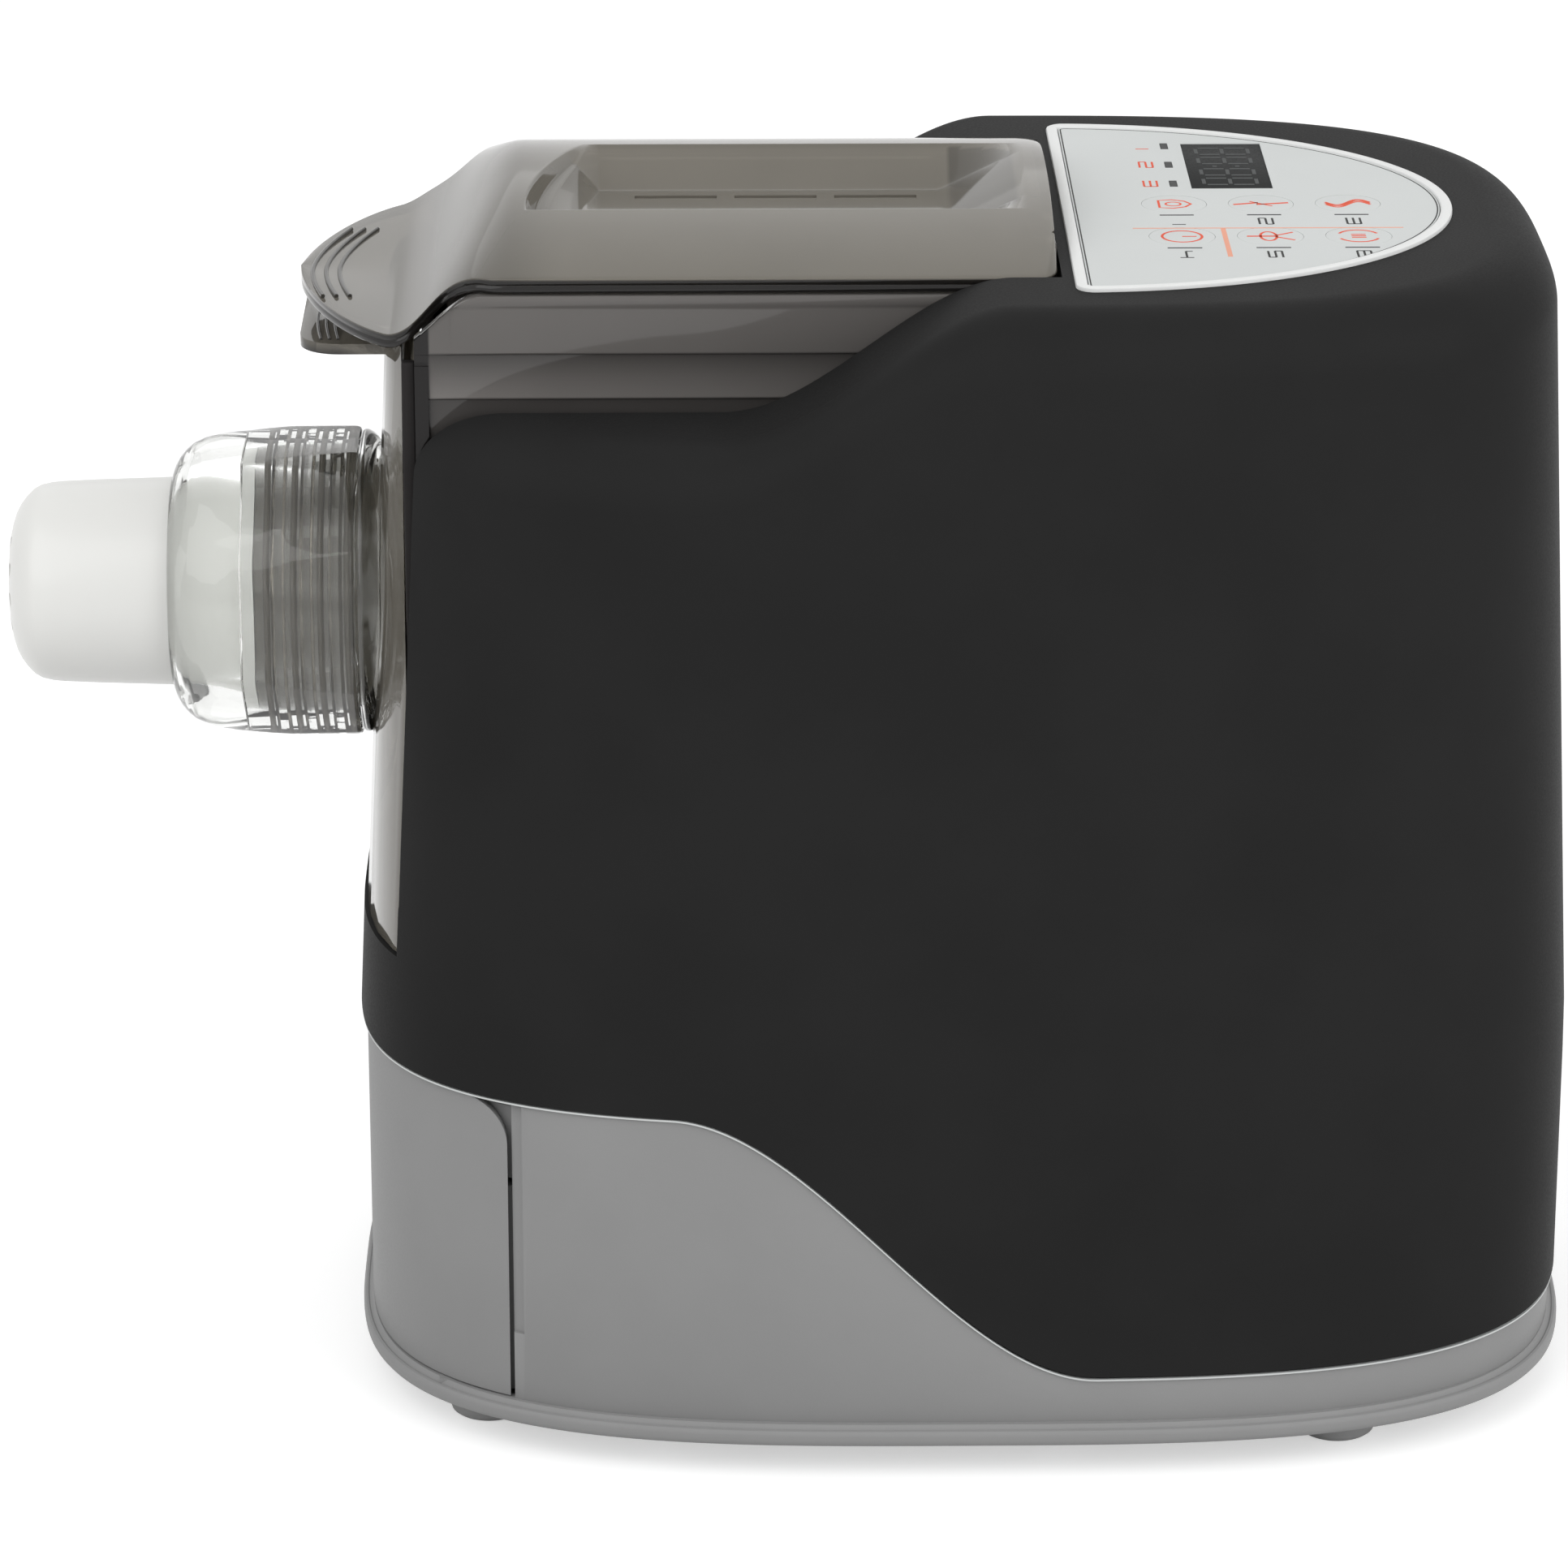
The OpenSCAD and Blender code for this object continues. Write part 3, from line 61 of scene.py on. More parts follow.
# ---- node helpers: one wire class serves the shader trees and the geometry trees
class Wire:
    def __init__(self, tree, socket):
        self.tree, self.socket = tree, socket

    def put(self, kind, inputs=None, out=0, stops=None, **settings):
        return addNode(self.tree, kind, inputs, out, stops, **settings)

    def math(self, operation, *values):
        return self.put("ShaderNodeMath", values, operation=operation)

    def __add__(self, other):
        return self.math("ADD", self, other)

    def __radd__(self, other):
        return self.math("ADD", other, self)

    def __sub__(self, other):
        return self.math("SUBTRACT", self, other)

    def __rsub__(self, other):
        return self.math("SUBTRACT", other, self)

    def __mul__(self, other):
        return self.math("MULTIPLY", self, other)

    def __rmul__(self, other):
        return self.math("MULTIPLY", other, self)

    def __truediv__(self, other):
        return self.math("DIVIDE", self, other)

    def __rtruediv__(self, other):
        return self.math("DIVIDE", other, self)

    def __pow__(self, other):
        return self.math("POWER", self, other)

    def __neg__(self):
        return self.math("MULTIPLY", self, -1.0)

    def bounded(self):
        return self.put("ShaderNodeClamp", {"Value": self})

    def ramp(self, low, high, start=0.0, end=1.0, smooth=True):
        return self.put("ShaderNodeMapRange", {"Value": self, "From Min": low, "From Max": high,
                        "To Min": start, "To Max": end},
                        interpolation_type="SMOOTHSTEP" if smooth else "LINEAR")


def addNode(tree, kind, inputs=None, out=0, stops=None, **settings):
    node = tree.nodes.new(kind)
    for key, value in settings.items():
        setattr(node, key, value)
    if stops:                                   # a colour ramp's places and colours
        ramp = node.color_ramp
        while len(ramp.elements) < len(stops):
            ramp.elements.new(0.5)
        for element, (place, colour) in zip(ramp.elements, stops):
            element.position, element.color = place, tuple(colour) + (1.0,)
    given = enumerate(inputs or ()) if not isinstance(inputs, dict) else inputs.items()
    for key, value in given:
        if isinstance(value, Wire):
            tree.links.new(value.socket, node.inputs[key])
        elif value is not None:
            node.inputs[key].default_value = value
    return Wire(tree, node.outputs[out]) if len(node.outputs) else node


def tone(code):                                 # "#rrggbb" as linear light
    parts = [int(code[i:i + 2], 16) / 255 for i in (1, 3, 5)]
    return tuple(c / 12.92 if c <= 0.04045 else ((c + 0.055) / 1.055) ** 2.4 for c in parts)


# ---- mesh helpers, all in millimetres from the base centre
def addMesh(name, points, faces):
    mesh = bpy.data.meshes.new(name)
    mesh.from_pydata([((x + baseX) * mm, y * mm, z * mm) for x, y, z in points], [], faces)
    return addObject(name, mesh)


def addObject(name, mesh, merge=1e-6):
    work = bmesh.new()
    work.from_mesh(mesh)
    bmesh.ops.remove_doubles(work, verts=work.verts, dist=merge)
    bmesh.ops.dissolve_degenerate(work, dist=1e-7, edges=work.edges)
    bmesh.ops.recalc_face_normals(work, faces=work.faces)
    work.to_mesh(mesh)
    work.free()
    piece = bpy.data.objects.new(name, mesh)
    scene.collection.objects.link(piece)
    return piece


def loft(name, loops, round=False, caps=True):  # skin over loops of equal length
    count, size = len(loops), len(loops[0])
    points = [p for loop in loops for p in loop]
    faces = []
    for j in range(count if round else count - 1):
        for i in range(size):
            a, b = j * size, (j + 1) % count * size
            faces.append((a + i, a + (i + 1) % size, b + (i + 1) % size, b + i))
    if caps and not round:
        faces += [tuple(range(size)), tuple(range((count - 1) * size, count * size))]
    return addMesh(name, points, faces)


def slab(low, high):
    plan = ((low[0], low[1]), (high[0], low[1]), (high[0], high[1]), (low[0], high[1]))
    return loft("slab", [[(x, y, z) for x, y in plan] for z in (low[2], high[2])])


def prism(shape, low, high):                    # (X, Y) shape raised along Z
    return loft("prism", [[(x, y, z) for x, y in shape] for z in (low, high)])


def across(shape, half, middle=0.0):            # (X, Z) shape drawn over the width
    return loft("across", [[(x, middle + y, z) for x, z in shape] for y in (-half, half)])


def along(shape, start, end):                   # (Y, Z) shape drawn along X
    return loft("along", [[(x, y, z) for y, z in shape] for x in (start, end)])


def circle(centre, radius, steps=48, start=0.0, end=360.0):
    count = steps if end - start == 360 else steps + 1
    turns = [math.radians(start + (end - start) * i / steps) for i in range(count)]
    return [(centre[0] + radius * math.cos(t), centre[1] + radius * math.sin(t)) for t in turns]


def lathe(name, profile, steps=128, centre=(0.0, 0.0)):  # (X, radius) profile turned round a line
    loops = [[(x, centre[0] + r * math.cos(a), centre[1] + r * math.sin(a)) for x, r in profile]
             for a in (2 * math.pi * i / steps for i in range(steps))]
    return loft(name, loops, round=True)


def bake(piece):                                # modifiers become plain mesh
    shape = bpy.context.evaluated_depsgraph_get()
    piece.data = bpy.data.meshes.new_from_object(piece.evaluated_get(shape))
    piece.modifiers.clear()
    return piece


def combine(piece, others, operation="DIFFERENCE"):
    for other in others:
        step = piece.modifiers.new("cut", "BOOLEAN")
        step.operation, step.solver, step.object = operation, "EXACT", other
        bake(piece)
        bpy.data.objects.remove(other)
    return piece


def joinAll(name, pieces):                      # loose parts of one moulding in one mesh
    work = bmesh.new()
    for piece in pieces:
        work.from_mesh(piece.data)
        bpy.data.objects.remove(piece)
    mesh = bpy.data.meshes.new(name)
    work.to_mesh(mesh)
    work.free()
    return addObject(name, mesh, merge=1e-8)


def fromCad(name, node):                        # a merged copy of a CAD solid, free of its loose triangles
    piece = addObject(name, frame["nodes"][node].data.copy())
    piece.data.materials.clear()
    work = bmesh.new()
    work.from_mesh(piece.data)
    bmesh.ops.dissolve_limit(work, angle_limit=math.radians(0.4), verts=work.verts, edges=work.edges)
    work.to_mesh(piece.data)
    work.free()
    return piece


def settle(piece, name, body, material, nodes=(), bevel=0.0, angle=38, segments=2):
    if bevel:
        soft = piece.modifiers.new("soft edges", "BEVEL")
        soft.width, soft.segments = bevel * mm, segments
        soft.limit_method, soft.angle_limit = "ANGLE", math.radians(angle)
        soft.use_clamp_overlap = True
        bake(piece)
    piece.name = piece.data.name = name
    piece.data.shade_smooth()
    piece.data.set_sharp_from_angle(angle=math.radians(angle))
    piece.data.materials.clear()
    piece.data.materials.append(material)
    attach(piece, body)
    if nodes:
        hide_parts(*nodes)
    return piece


def paintRimTintAndShade(piece, rule):                     # writes, from 0 to 1, how far each point is darkened: the tint of thick rims and painted shade
    field = piece.data.attributes.new("rimTintAndPaintedShade", "FLOAT", "POINT")
    values = [rule(v.co.x / mm - baseX, v.co.y / mm, v.co.z / mm) for v in piece.data.vertices]
    field.data.foreach_set("value", [float(v) for v in values])
    return piece


# ---- geometry trees
def newTree(name, sizes):
    tree = bpy.data.node_groups.new(name, "GeometryNodeTree")
    keys = {}
    for label, value in sizes.items():
        kind = "NodeSocketInt" if isinstance(value, int) else "NodeSocketFloat"
        item = tree.interface.new_socket(label, in_out="INPUT", socket_type=kind)
        item.default_value = value
        keys[label] = item.identifier
    tree.interface.new_socket("Geometry", in_out="OUTPUT", socket_type="NodeSocketGeometry")
    given = tree.nodes.new("NodeGroupInput")
    return tree, keys, {label: Wire(tree, given.outputs[label]) for label in sizes}


def endTree(tree, geometry, material):
    whole = geometry.put("GeometryNodeRealizeInstances", {"Geometry": geometry})
    done = whole.put("GeometryNodeSetMaterial", {"Geometry": whole, "Material": material})
    last = tree.nodes.new("NodeGroupOutput")
    tree.links.new(done.socket, last.inputs[0])


def grow(name, tree, keys, sizes):              # runs a tree with its sizes and keeps the plain mesh
    piece = bpy.data.objects.new(name, bpy.data.meshes.new(name))
    scene.collection.objects.link(piece)
    step = piece.modifiers.new("build", "NODES")
    step.node_group = tree
    for label, value in sizes.items():
        step[keys[label]] = value
    bake(piece)
    mesh = piece.data
    bpy.data.objects.remove(piece)
    return addObject(name, mesh)


# ---- finishes
def newFinish(name, **constants):
    material = bpy.data.materials.new(name)
    material.use_nodes = True
    tree = material.node_tree
    shader = tree.nodes["Principled BSDF"]
    for label, value in constants.items():
        shader.inputs[label].default_value = value
    place = addNode(tree, "ShaderNodeTexCoord", out="Object")
    return material, tree, shader, place


def feed(tree, shader, **wires):
    for label, wire in wires.items():
        tree.links.new(wire.socket, shader.inputs[label.replace("_", " ")])


def noise(place, size, detail=2.0, out=0, rough=0.5):  # size is the width of one blotch, mm
    return place.put("ShaderNodeTexNoise", {"Vector": place, "Scale": 1000.0 / size, "Detail": detail,
                     "Roughness": rough}, out=out)


def blend(place, share, first, second, under=None):
    below = under or tuple(first) + (1.0,)
    return place.put("ShaderNodeMix", {0: share, 6: below, 7: tuple(second) + (1.0,)}, out=2, data_type="RGBA")


def bump(place, height, depth, strength=1.0):   # depth in mm
    return place.put("ShaderNodeBump", {"Strength": strength, "Distance": depth * mm, "Height": height})


def plastic(name, colour, rough=0.4, grain=0.35, depth=0.02, mottle=0.05, level=0.5, coat=0.0,
            through=0.0, ior=1.5, wave=0.0, edge=None):
    base = tone(colour)
    material, tree, shader, place = newFinish(name, **{
        "Specular IOR Level": level, "Coat Weight": coat, "Coat Roughness": 0.08,
        "Transmission Weight": through, "IOR": ior})
    large = noise(place, 38.0, 3.0)
    fine = noise(place, grain, 3.0)
    tint = blend(place, large.ramp(0.3, 0.7), [c * (1 - mottle) for c in base],
                 [min(1.0, c * (1 + mottle)) for c in base])
    if edge:                                    # darkened toward the edge colour where the mesh says: the tint of thick rims and painted shade
        rim = addNode(tree, "ShaderNodeAttribute", out=2, attribute_name="rimTintAndPaintedShade")
        tint = blend(place, rim.bounded(), (0, 0, 0), tone(edge), tint)
    height = fine + noise(place, 14.0, 1.0) * wave
    feed(tree, shader, Base_Color=tint, Roughness=fine.ramp(0.3, 0.7, rough * 0.9, rough * 1.1),
         Normal=bump(place, height, depth))
    return material


def metal(name, colour, rough=0.3, stretch=(1.0, 40.0, 40.0), streak=1.2):
    base = tone(colour)
    material, tree, shader, place = newFinish(name, Metallic=1.0)
    drawn = place.put("ShaderNodeMapping", {"Vector": place, "Scale": stretch})
    lines = noise(drawn, streak * 30, 4.0)
    tint = blend(place, noise(place, 9.0, 4.0).ramp(0.35, 0.65), [c * 0.86 for c in base], base)
    feed(tree, shader, Base_Color=tint, Roughness=lines.ramp(0.3, 0.7, rough * 0.75, rough * 1.3),
         Normal=bump(place, lines, 0.01))
    return material


finishes = {
    "shell": plastic("shellSatin", "#282828", 0.5, 0.5, 0.012, 0.05, level=0.02),
    "base": plastic("baseGrey", "#909090", 0.5, 0.5, 0.015, 0.025, level=0.12),
    "rubber_feet": plastic("footRubber", "#969696", 0.7, 0.8, 0.05, 0.05, level=0.15),
    # edge colours: the dark of thick smoky rims, also laid on as painted shade on slopes, under ledges and in
    # the trough
    "smoky": plastic("smokyLid", "#969187", 0.07, 0.6, 0.001, 0.03, level=0.25, through=0.48,
                     ior=1.46, wave=8.0, edge="#2a2827"),
    "bowl": plastic("smokyBowl", "#8f8b88", 0.06, 0.6, 0.001, 0.03, level=0.25, through=0.32,
                    ior=1.46, wave=8.0, edge="#232121"),
    "plate": plastic("smokyPlate", "#8f8a80", 0.06, 0.6, 0.001, 0.03, level=0.3, through=0.6,
                     ior=1.46, wave=8.0, edge="#2a2827"),
    "clear": plastic("clearNut", "#f6f7f5", 0.02, 0.6, 0.002, 0.01, through=1.0, ior=1.47, wave=5.0),
    "seal": plastic("sealSilicone", "#2b2929", 0.6, 0.7, 0.03, 0.08, level=0.1),
    "white": plastic("dieWhite", "#e6e6e3", 0.32, 0.5, 0.006, 0.01, level=0.3, coat=0.1),
    "trim": plastic("trimWhite", "#e4e5e4", 0.35, 0.5, 0.004, 0.01, level=0.12),
    "panel": plastic("panelFoil", "#d0d3d2", 0.45, 0.35, 0.004, 0.012, level=0.08),
    "key": plastic("keyFoil", "#d0d3d2", 0.45, 0.35, 0.004, 0.012, level=0.08),
    "dark_window": plastic("windowSmoke", "#303131", 0.5, 0.5, 0.002, 0.04, level=0.02),
    "lamp": plastic("lampLens", "#4b4c4c", 0.5, 0.5, 0.004, 0.06, level=0.05),
    "black": plastic("blackMoulding", "#1d1d1d", 0.5, 0.6, 0.03, 0.1, level=0.2),
    "gear_plastic": plastic("gearNylon", "#dcd8c9", 0.42, 0.5, 0.02, 0.06),
    "steel": metal("turnedSteel", "#b9bbbd", 0.28),
    "core_steel": metal("coreSteel", "#6f7276", 0.45, (60.0, 1.0, 1.0), 0.4),
    "copper": metal("windingCopper", "#b4622f", 0.32, (1.0, 30.0, 30.0)),
    "bronze": metal("bearingBronze", "#a9854d", 0.35),
    "alloy": metal("castAlloy", "#a4a7aa", 0.48, (6.0, 6.0, 6.0)),
}
finishes["board"], boardTree, boardShader, boardPlace = newFinish("boardGreen", Roughness=0.4)
tracks = boardPlace.put("ShaderNodeTexVoronoi", {"Vector": boardPlace, "Scale": 260.0}, distance="CHEBYCHEV")
copper = tracks.ramp(0.42, 0.5)
feed(boardTree, boardShader, Base_Color=blend(boardPlace, copper, tone("#215c30"), tone("#2f7a43")),
     Normal=bump(boardPlace, copper, 0.03))
inkOrange = plastic("inkOrange", "#e2583a", 0.5, 0.35, 0.003, 0.05, level=0.08)
inkPale = plastic("inkPaleOrange", "#e9a48b", 0.5, 0.35, 0.003, 0.03, level=0.08)
inkBlack = plastic("inkBlack", "#2c2c2c", 0.5, 0.35, 0.003, 0.05, level=0.08)
digitGrey = plastic("digitGrey", "#565858", 0.5, 0.5, 0.002, 0.04, level=0.02)
print("finishes made:", len(finishes))

# ---- camera, floor and light
cameraSet = dict(place=(-21.07, -1474.44, 670.97), turn=0.0127752, dip=0.35206, lens=156.08)
camera = bpy.data.objects.new("camera", bpy.data.cameras.new("camera"))
camera.data.lens, camera.data.sensor_width, camera.data.clip_end = cameraSet["lens"], 36.0, 20.0
camera.location = [v * mm for v in cameraSet["place"]]
aim = Vector((math.sin(cameraSet["turn"]) * math.cos(cameraSet["dip"]),
              math.cos(cameraSet["turn"]) * math.cos(cameraSet["dip"]), -math.sin(cameraSet["dip"])))
camera.rotation_euler = aim.to_track_quat("-Z", "Y").to_euler()
scene.collection.objects.link(camera)
scene.camera = camera

lightSet = dict(world=0.6, lamps=[                 # place and aim in mm, size in mm, watts
    ("keyLight", (-1000, -1000, 1300), (0, 0, 150), 1700, 13.0),
    ("fillLight", (1300, -900, 800), (0, 0, 150), 1500, 12.5),
    ("backLight", (0, 1100, 1300), (0, 0, 200), 1600, 3.0)])
world = bpy.data.worlds.new("studio")
scene.world = world
world.use_nodes = True
worldTree = world.node_tree
worldTree.nodes.clear()
path = worldTree.nodes.new("ShaderNodeLightPath")
seen = Wire(worldTree, path.outputs["Is Camera Ray"])
for kind in ("Is Glossy Ray", "Is Transmission Ray"):
    seen = seen.math("MAXIMUM", seen, Wire(worldTree, path.outputs[kind]))
glow = seen.put("ShaderNodeBackground", {"Color": (1.0, 1.0, 1.0, 1.0),
                "Strength": seen.ramp(0.0, 1.0, lightSet["world"], 1.0, smooth=False)})
worldTree.links.new(glow.socket, worldTree.nodes.new("ShaderNodeOutputWorld").inputs[0])
for name, spot, target, size, watts in lightSet["lamps"]:
    lamp = bpy.data.objects.new(name, bpy.data.lights.new(name, "AREA"))
    lamp.data.size, lamp.data.energy = size * mm, watts
    lamp.location = [v * mm for v in spot]
    lamp.rotation_euler = (Vector(target) - Vector(spot)).to_track_quat("-Z", "Y").to_euler()
    scene.collection.objects.link(lamp)

floorSet = dict(reach=6.0, grey=0.72, glow=0.5)  # half the floor's length in metres, its tone and its glow
reach = floorSet["reach"]
floorMesh = bpy.data.meshes.new("floor")
floorMesh.from_pydata([(-reach, -reach, 0), (reach, -reach, 0), (reach, reach, 0), (-reach, reach, 0)], [],
                      [(0, 1, 2, 3)])
floor = bpy.data.objects.new("floor", floorMesh)
scene.collection.objects.link(floor)
floorFinish, floorTree, floorShader = newFinish("floorPale", Roughness=0.9, **{
    "Specular IOR Level": 0.1, "Base Color": (floorSet["grey"],) * 3 + (1.0,)})[:3]
floorPath = floorTree.nodes.new("ShaderNodeLightPath")
plainView = Wire(floorTree, floorPath.outputs["Is Camera Ray"])
for kind in ("Is Glossy Ray", "Is Transmission Ray"):
    plainView = plainView.math("MAXIMUM", plainView, Wire(floorTree, floorPath.outputs[kind]))
shine = plainView.put("ShaderNodeEmission", {"Color": (1.0, 1.0, 1.0, 1.0),
                      "Strength": plainView * floorSet["glow"]})
both = addNode(floorTree, "ShaderNodeAddShader", {0: Wire(floorTree, floorShader.outputs[0]), 1: shine})
floorTree.links.new(both.socket, floorTree.nodes["Material Output"].inputs[0])
floorMesh.materials.append(floorFinish)
scene.view_settings.view_transform = "Standard"
print("camera, light and floor set")

# ---- casing shell: one rule gives the whole block, a second run of it gives the hollow
shellSet = {"Half Length": 138.8, "Half Width": 96.5, "Squareness": 3.2, "End Lean": 0.048, "Side Lean": 0.02,
            "Front Edge": 84.6, "Rear Edge": 22.5, "Fall Start": -67.0, "Fall End": 28.0, "Cheek": 236.8,
            "Deck": 267.0, "Rise Start": -64.0, "Rise End": 9.5, "Shoulder": 14.0, "Inset": 0.0, "Under": 0.0,
            "Around": 360, "Levels": 50}


def planPoint(a, b, degrees):
    c, s = math.cos(math.radians(degrees)), math.sin(math.radians(degrees))
    power = shellSet["Squareness"]
    r = (abs(c / a) ** power + abs(s / b) ** power) ** (-1 / power)
    return r * c, r * s


def planLine(a, b, steps=360):
    return [planPoint(a, b, 360 * i / steps) for i in range(steps)]


def ease(x, start, end):
    t = min(1.0, max(0.0, (x - start) / (end - start)))
    return t * t * (3 - 2 * t)


def waveZ(x):                                   # lower edge of the shell
    return shellSet["Front Edge"] + (shellSet["Rear Edge"] - shellSet["Front Edge"]) * ease(
        x, shellSet["Fall Start"], shellSet["Fall End"])


def buildShellTree():
    tree, keys, size = newTree("shellBlock", shellSet)
    plate = addNode(tree, "GeometryNodeMeshGrid", {"Size X": 1.0, "Size Y": 1.0,
                    "Vertices X": size["Around"], "Vertices Y": size["Levels"]})
    spot = addNode(tree, "GeometryNodeInputPosition")
    u = spot.put("ShaderNodeSeparateXYZ", {0: spot}, out=0) + 0.5
    v = spot.put("ShaderNodeSeparateXYZ", {0: spot}, out=1) + 0.5
    turn = u * (2 * math.pi)
    c, s = turn.math("COSINE", turn), turn.math("SINE", turn)
    power = size["Squareness"]

    def reach(a, b):                            # plan radius in this direction
        first = turn.math("ABSOLUTE", c / a) ** power
        second = turn.math("ABSOLUTE", s / b) ** power
        return (first + second) ** (-1.0 / power)

    leanTop = size["Deck"] - size["Front Edge"]
    deckLength = size["Half Length"] - size["End Lean"] * leanTop
    deckX = reach(deckLength, size["Half Width"] - size["Side Lean"] * leanTop) * c
    edgeX = reach(size["Half Length"], size["Half Width"]) * c
    edge = edgeX.ramp(size["Fall Start"], size["Fall End"], size["Front Edge"], size["Rear Edge"])
    foot = edge - size["Under"]
    radius = size["Shoulder"] - size["Inset"]
    top = deckX.ramp(size["Rise Start"], size["Rise End"], size["Cheek"], size["Deck"])
    brow = top - size["Inset"] - radius
    wall = v.ramp(0.06, 0.5, smooth=False)
    roll = v.ramp(0.5, 0.94, 0.0, math.pi / 2, smooth=False)
    z = foot + (brow - foot) * wall + radius * roll.math("SINE", roll)
    back = size["Inset"] + radius * (1.0 - roll.math("COSINE", roll))
    above = z.math("MAXIMUM", z - size["Front Edge"], 0.0)
    r = reach(size["Half Length"] - size["End Lean"] * above - back,
              size["Half Width"] - size["Side Lean"] * above - back)
    closing = v.ramp(0.0, 0.06, smooth=False) * (1.0 - v.ramp(0.94, 1.0, smooth=False))
    spotOut = z.put("ShaderNodeCombineXYZ", {0: (r * c + baseX) * mm, 1: r * s * closing * mm, 2: z * mm})
    block = plate.put("GeometryNodeSetPosition", {"Geometry": plate, "Position": spotOut})
    sealed = block.put("GeometryNodeMergeByDistance", {"Geometry": block, "Distance": 2e-6})
    endTree(tree, sealed, finishes["shell"])
    return tree, keys


axisZ = 179.4                                   # height of the line through nut, screw and output shaft
bay = dict(half=58.0, back=18.5, floor=121.5, wall=2.6, mouthHalf=57.8, mouthLow=109.7, mouthBack=-100)
panel = dict(front=21.0, length=87.7, half=70.0, corner=4.0, well=1.1, face=267.4, under=266.2, inset=2.85)
ventSet = dict(count=9, pitch=8.0, width=3.0, low=62.0, high=104.0)
shaftHoleSet = dict(front=17, back=27, radius=13)
glandSet = dict(y=30, z=48, hole=7.05, recess=9.8, face=136.2)
saddleSet = dict(places=(-100, -20), thick=3, radius=55.8, half=40, foot=120.5)


def stripes(count, pitch):                      # places of a centred row
    return [(i - (count - 1) / 2) * pitch for i in range(count)]


def panelShape(extra):
    a, b, r = panel["length"] + extra, panel["half"] + extra, max(1.0, panel["corner"] + extra)
    sweep = math.acos((r - extra) / a)
    arc = [(a * math.cos(i * sweep / 60), b * math.sin(i * sweep / 60)) for i in range(-60, 61)]
    corner = circle((r - extra, b * math.sin(sweep) - r), r, 10, 100, 180)
    shape = arc + corner + [(x, -y) for x, y in reversed(corner)]
    return [(panel["front"] + x, y) for x, y in shape]


shellTree, shellKeys = buildShellTree()
shell = grow("shell", shellTree, shellKeys, shellSet)
hollow = grow("hollow", shellTree, shellKeys, {**shellSet, "Inset": bay["wall"], "Under": 12.0})
cutFront, cutTop = -170, 320                    # the cuts reach past the shell's front and top
combine(hollow, [slab((cutFront, -bay["half"] - bay["wall"], bay["floor"] - bay["wall"]),
                      (bay["back"] + bay["wall"], bay["half"] + bay["wall"], cutTop))])
ventHalf = ventSet["width"] / 2
vents = [slab((120, y - ventHalf, ventSet["low"]), (150, y + ventHalf, ventSet["high"]))
         for y in stripes(ventSet["count"], ventSet["pitch"])]
glandHole = [(120, 0), (120, glandSet["hole"]), (glandSet["face"], glandSet["hole"]),
             (glandSet["face"], glandSet["recess"]), (150, glandSet["recess"]), (150, 0)]
shaftHole = [(shaftHoleSet["front"], 0), (shaftHoleSet["front"], shaftHoleSet["radius"]),
             (shaftHoleSet["back"], shaftHoleSet["radius"]), (shaftHoleSet["back"], 0)]
combine(shell, [
    hollow,
    slab((cutFront, -bay["half"], bay["floor"]), (bay["back"], bay["half"], cutTop)),
    slab((cutFront, -bay["mouthHalf"], bay["mouthLow"]), (bay["mouthBack"], bay["mouthHalf"], cutTop)),
    prism(panelShape(-panel["well"]), 259, 290),
    joinAll("vents", vents),
    lathe("glandHole", glandHole, 48, (glandSet["y"], glandSet["z"])),
    lathe("shaftHole", shaftHole, 64, (0, axisZ))])
saddles = []
for x in saddleSet["places"]:
    ring = circle((0, axisZ), saddleSet["radius"], 40, 226, 314)
    foot = [(-saddleSet["half"], saddleSet["foot"]), (saddleSet["half"], saddleSet["foot"])]
    saddles.append(along(foot + list(reversed(ring)), x, x + saddleSet["thick"]))
settle(joinAll("bodyShell", [shell] + saddles), "bodyShell", "machine", finishes["shell"],
       ["body_shell"], angle=42)

# ---- grey base: housing under the wave edge, tray with its bead, feet, drawer
baseSet = dict(half=137.5, side=96.0, wall=2.5, low=10.5, gap=0.3, door=-102.6)
lipSet = dict(half=135.6, side=93.3, wall=2.5, least=12.0, under=8, above=6)
channelSet = dict(half=140.0, side=98.5, deep=3.5, low=28.5, front=-104, back=-100.3)
linerSet = dict(half=134.6, side=92.9, wall=1.6, low=64.5, top=82, front=-117, back=-101)
edgeHighlightSet = dict(half=138.7, side=96.4, wall=0.9, low=0.4, top=0.02)
dividerSet = dict(front=-20, back=-17.5, half=92, top=78)
postSet = dict(radius=4.6, top=20.5, hole=3.6, holeTop=9.1)
traySet = dict(half=139.775, side=99.5, vents=11, ventPitch=7, ventWidth=3, ventFront=88, ventBack=122)
runnerSet = dict(low=10.4, front=-120, railFront=-96, back=-24, y=70, width=4, top=12.3, railY=79.6,
                 railWidth=2, railTop=18.5)
footSet = dict(radius=9.0, top=7.5)
drawerSet = dict(edge=-103.6, corner=10, top=84, wall=2.2, low=12.6, boxFront=-140, boxBack=-28, boxHalf=78,
                 boxTop=62.6, boxWall=2.2)
screwSpots = [(-70, 86.5), (-70, -86.5), (20, 88), (20, -88), (104, 68), (104, -68)]
footSpots = [(83.5, 74), (83.5, -74), (-109, 61), (-109, -61)]
far = 200                                       # cutting blocks reach past the whole machine


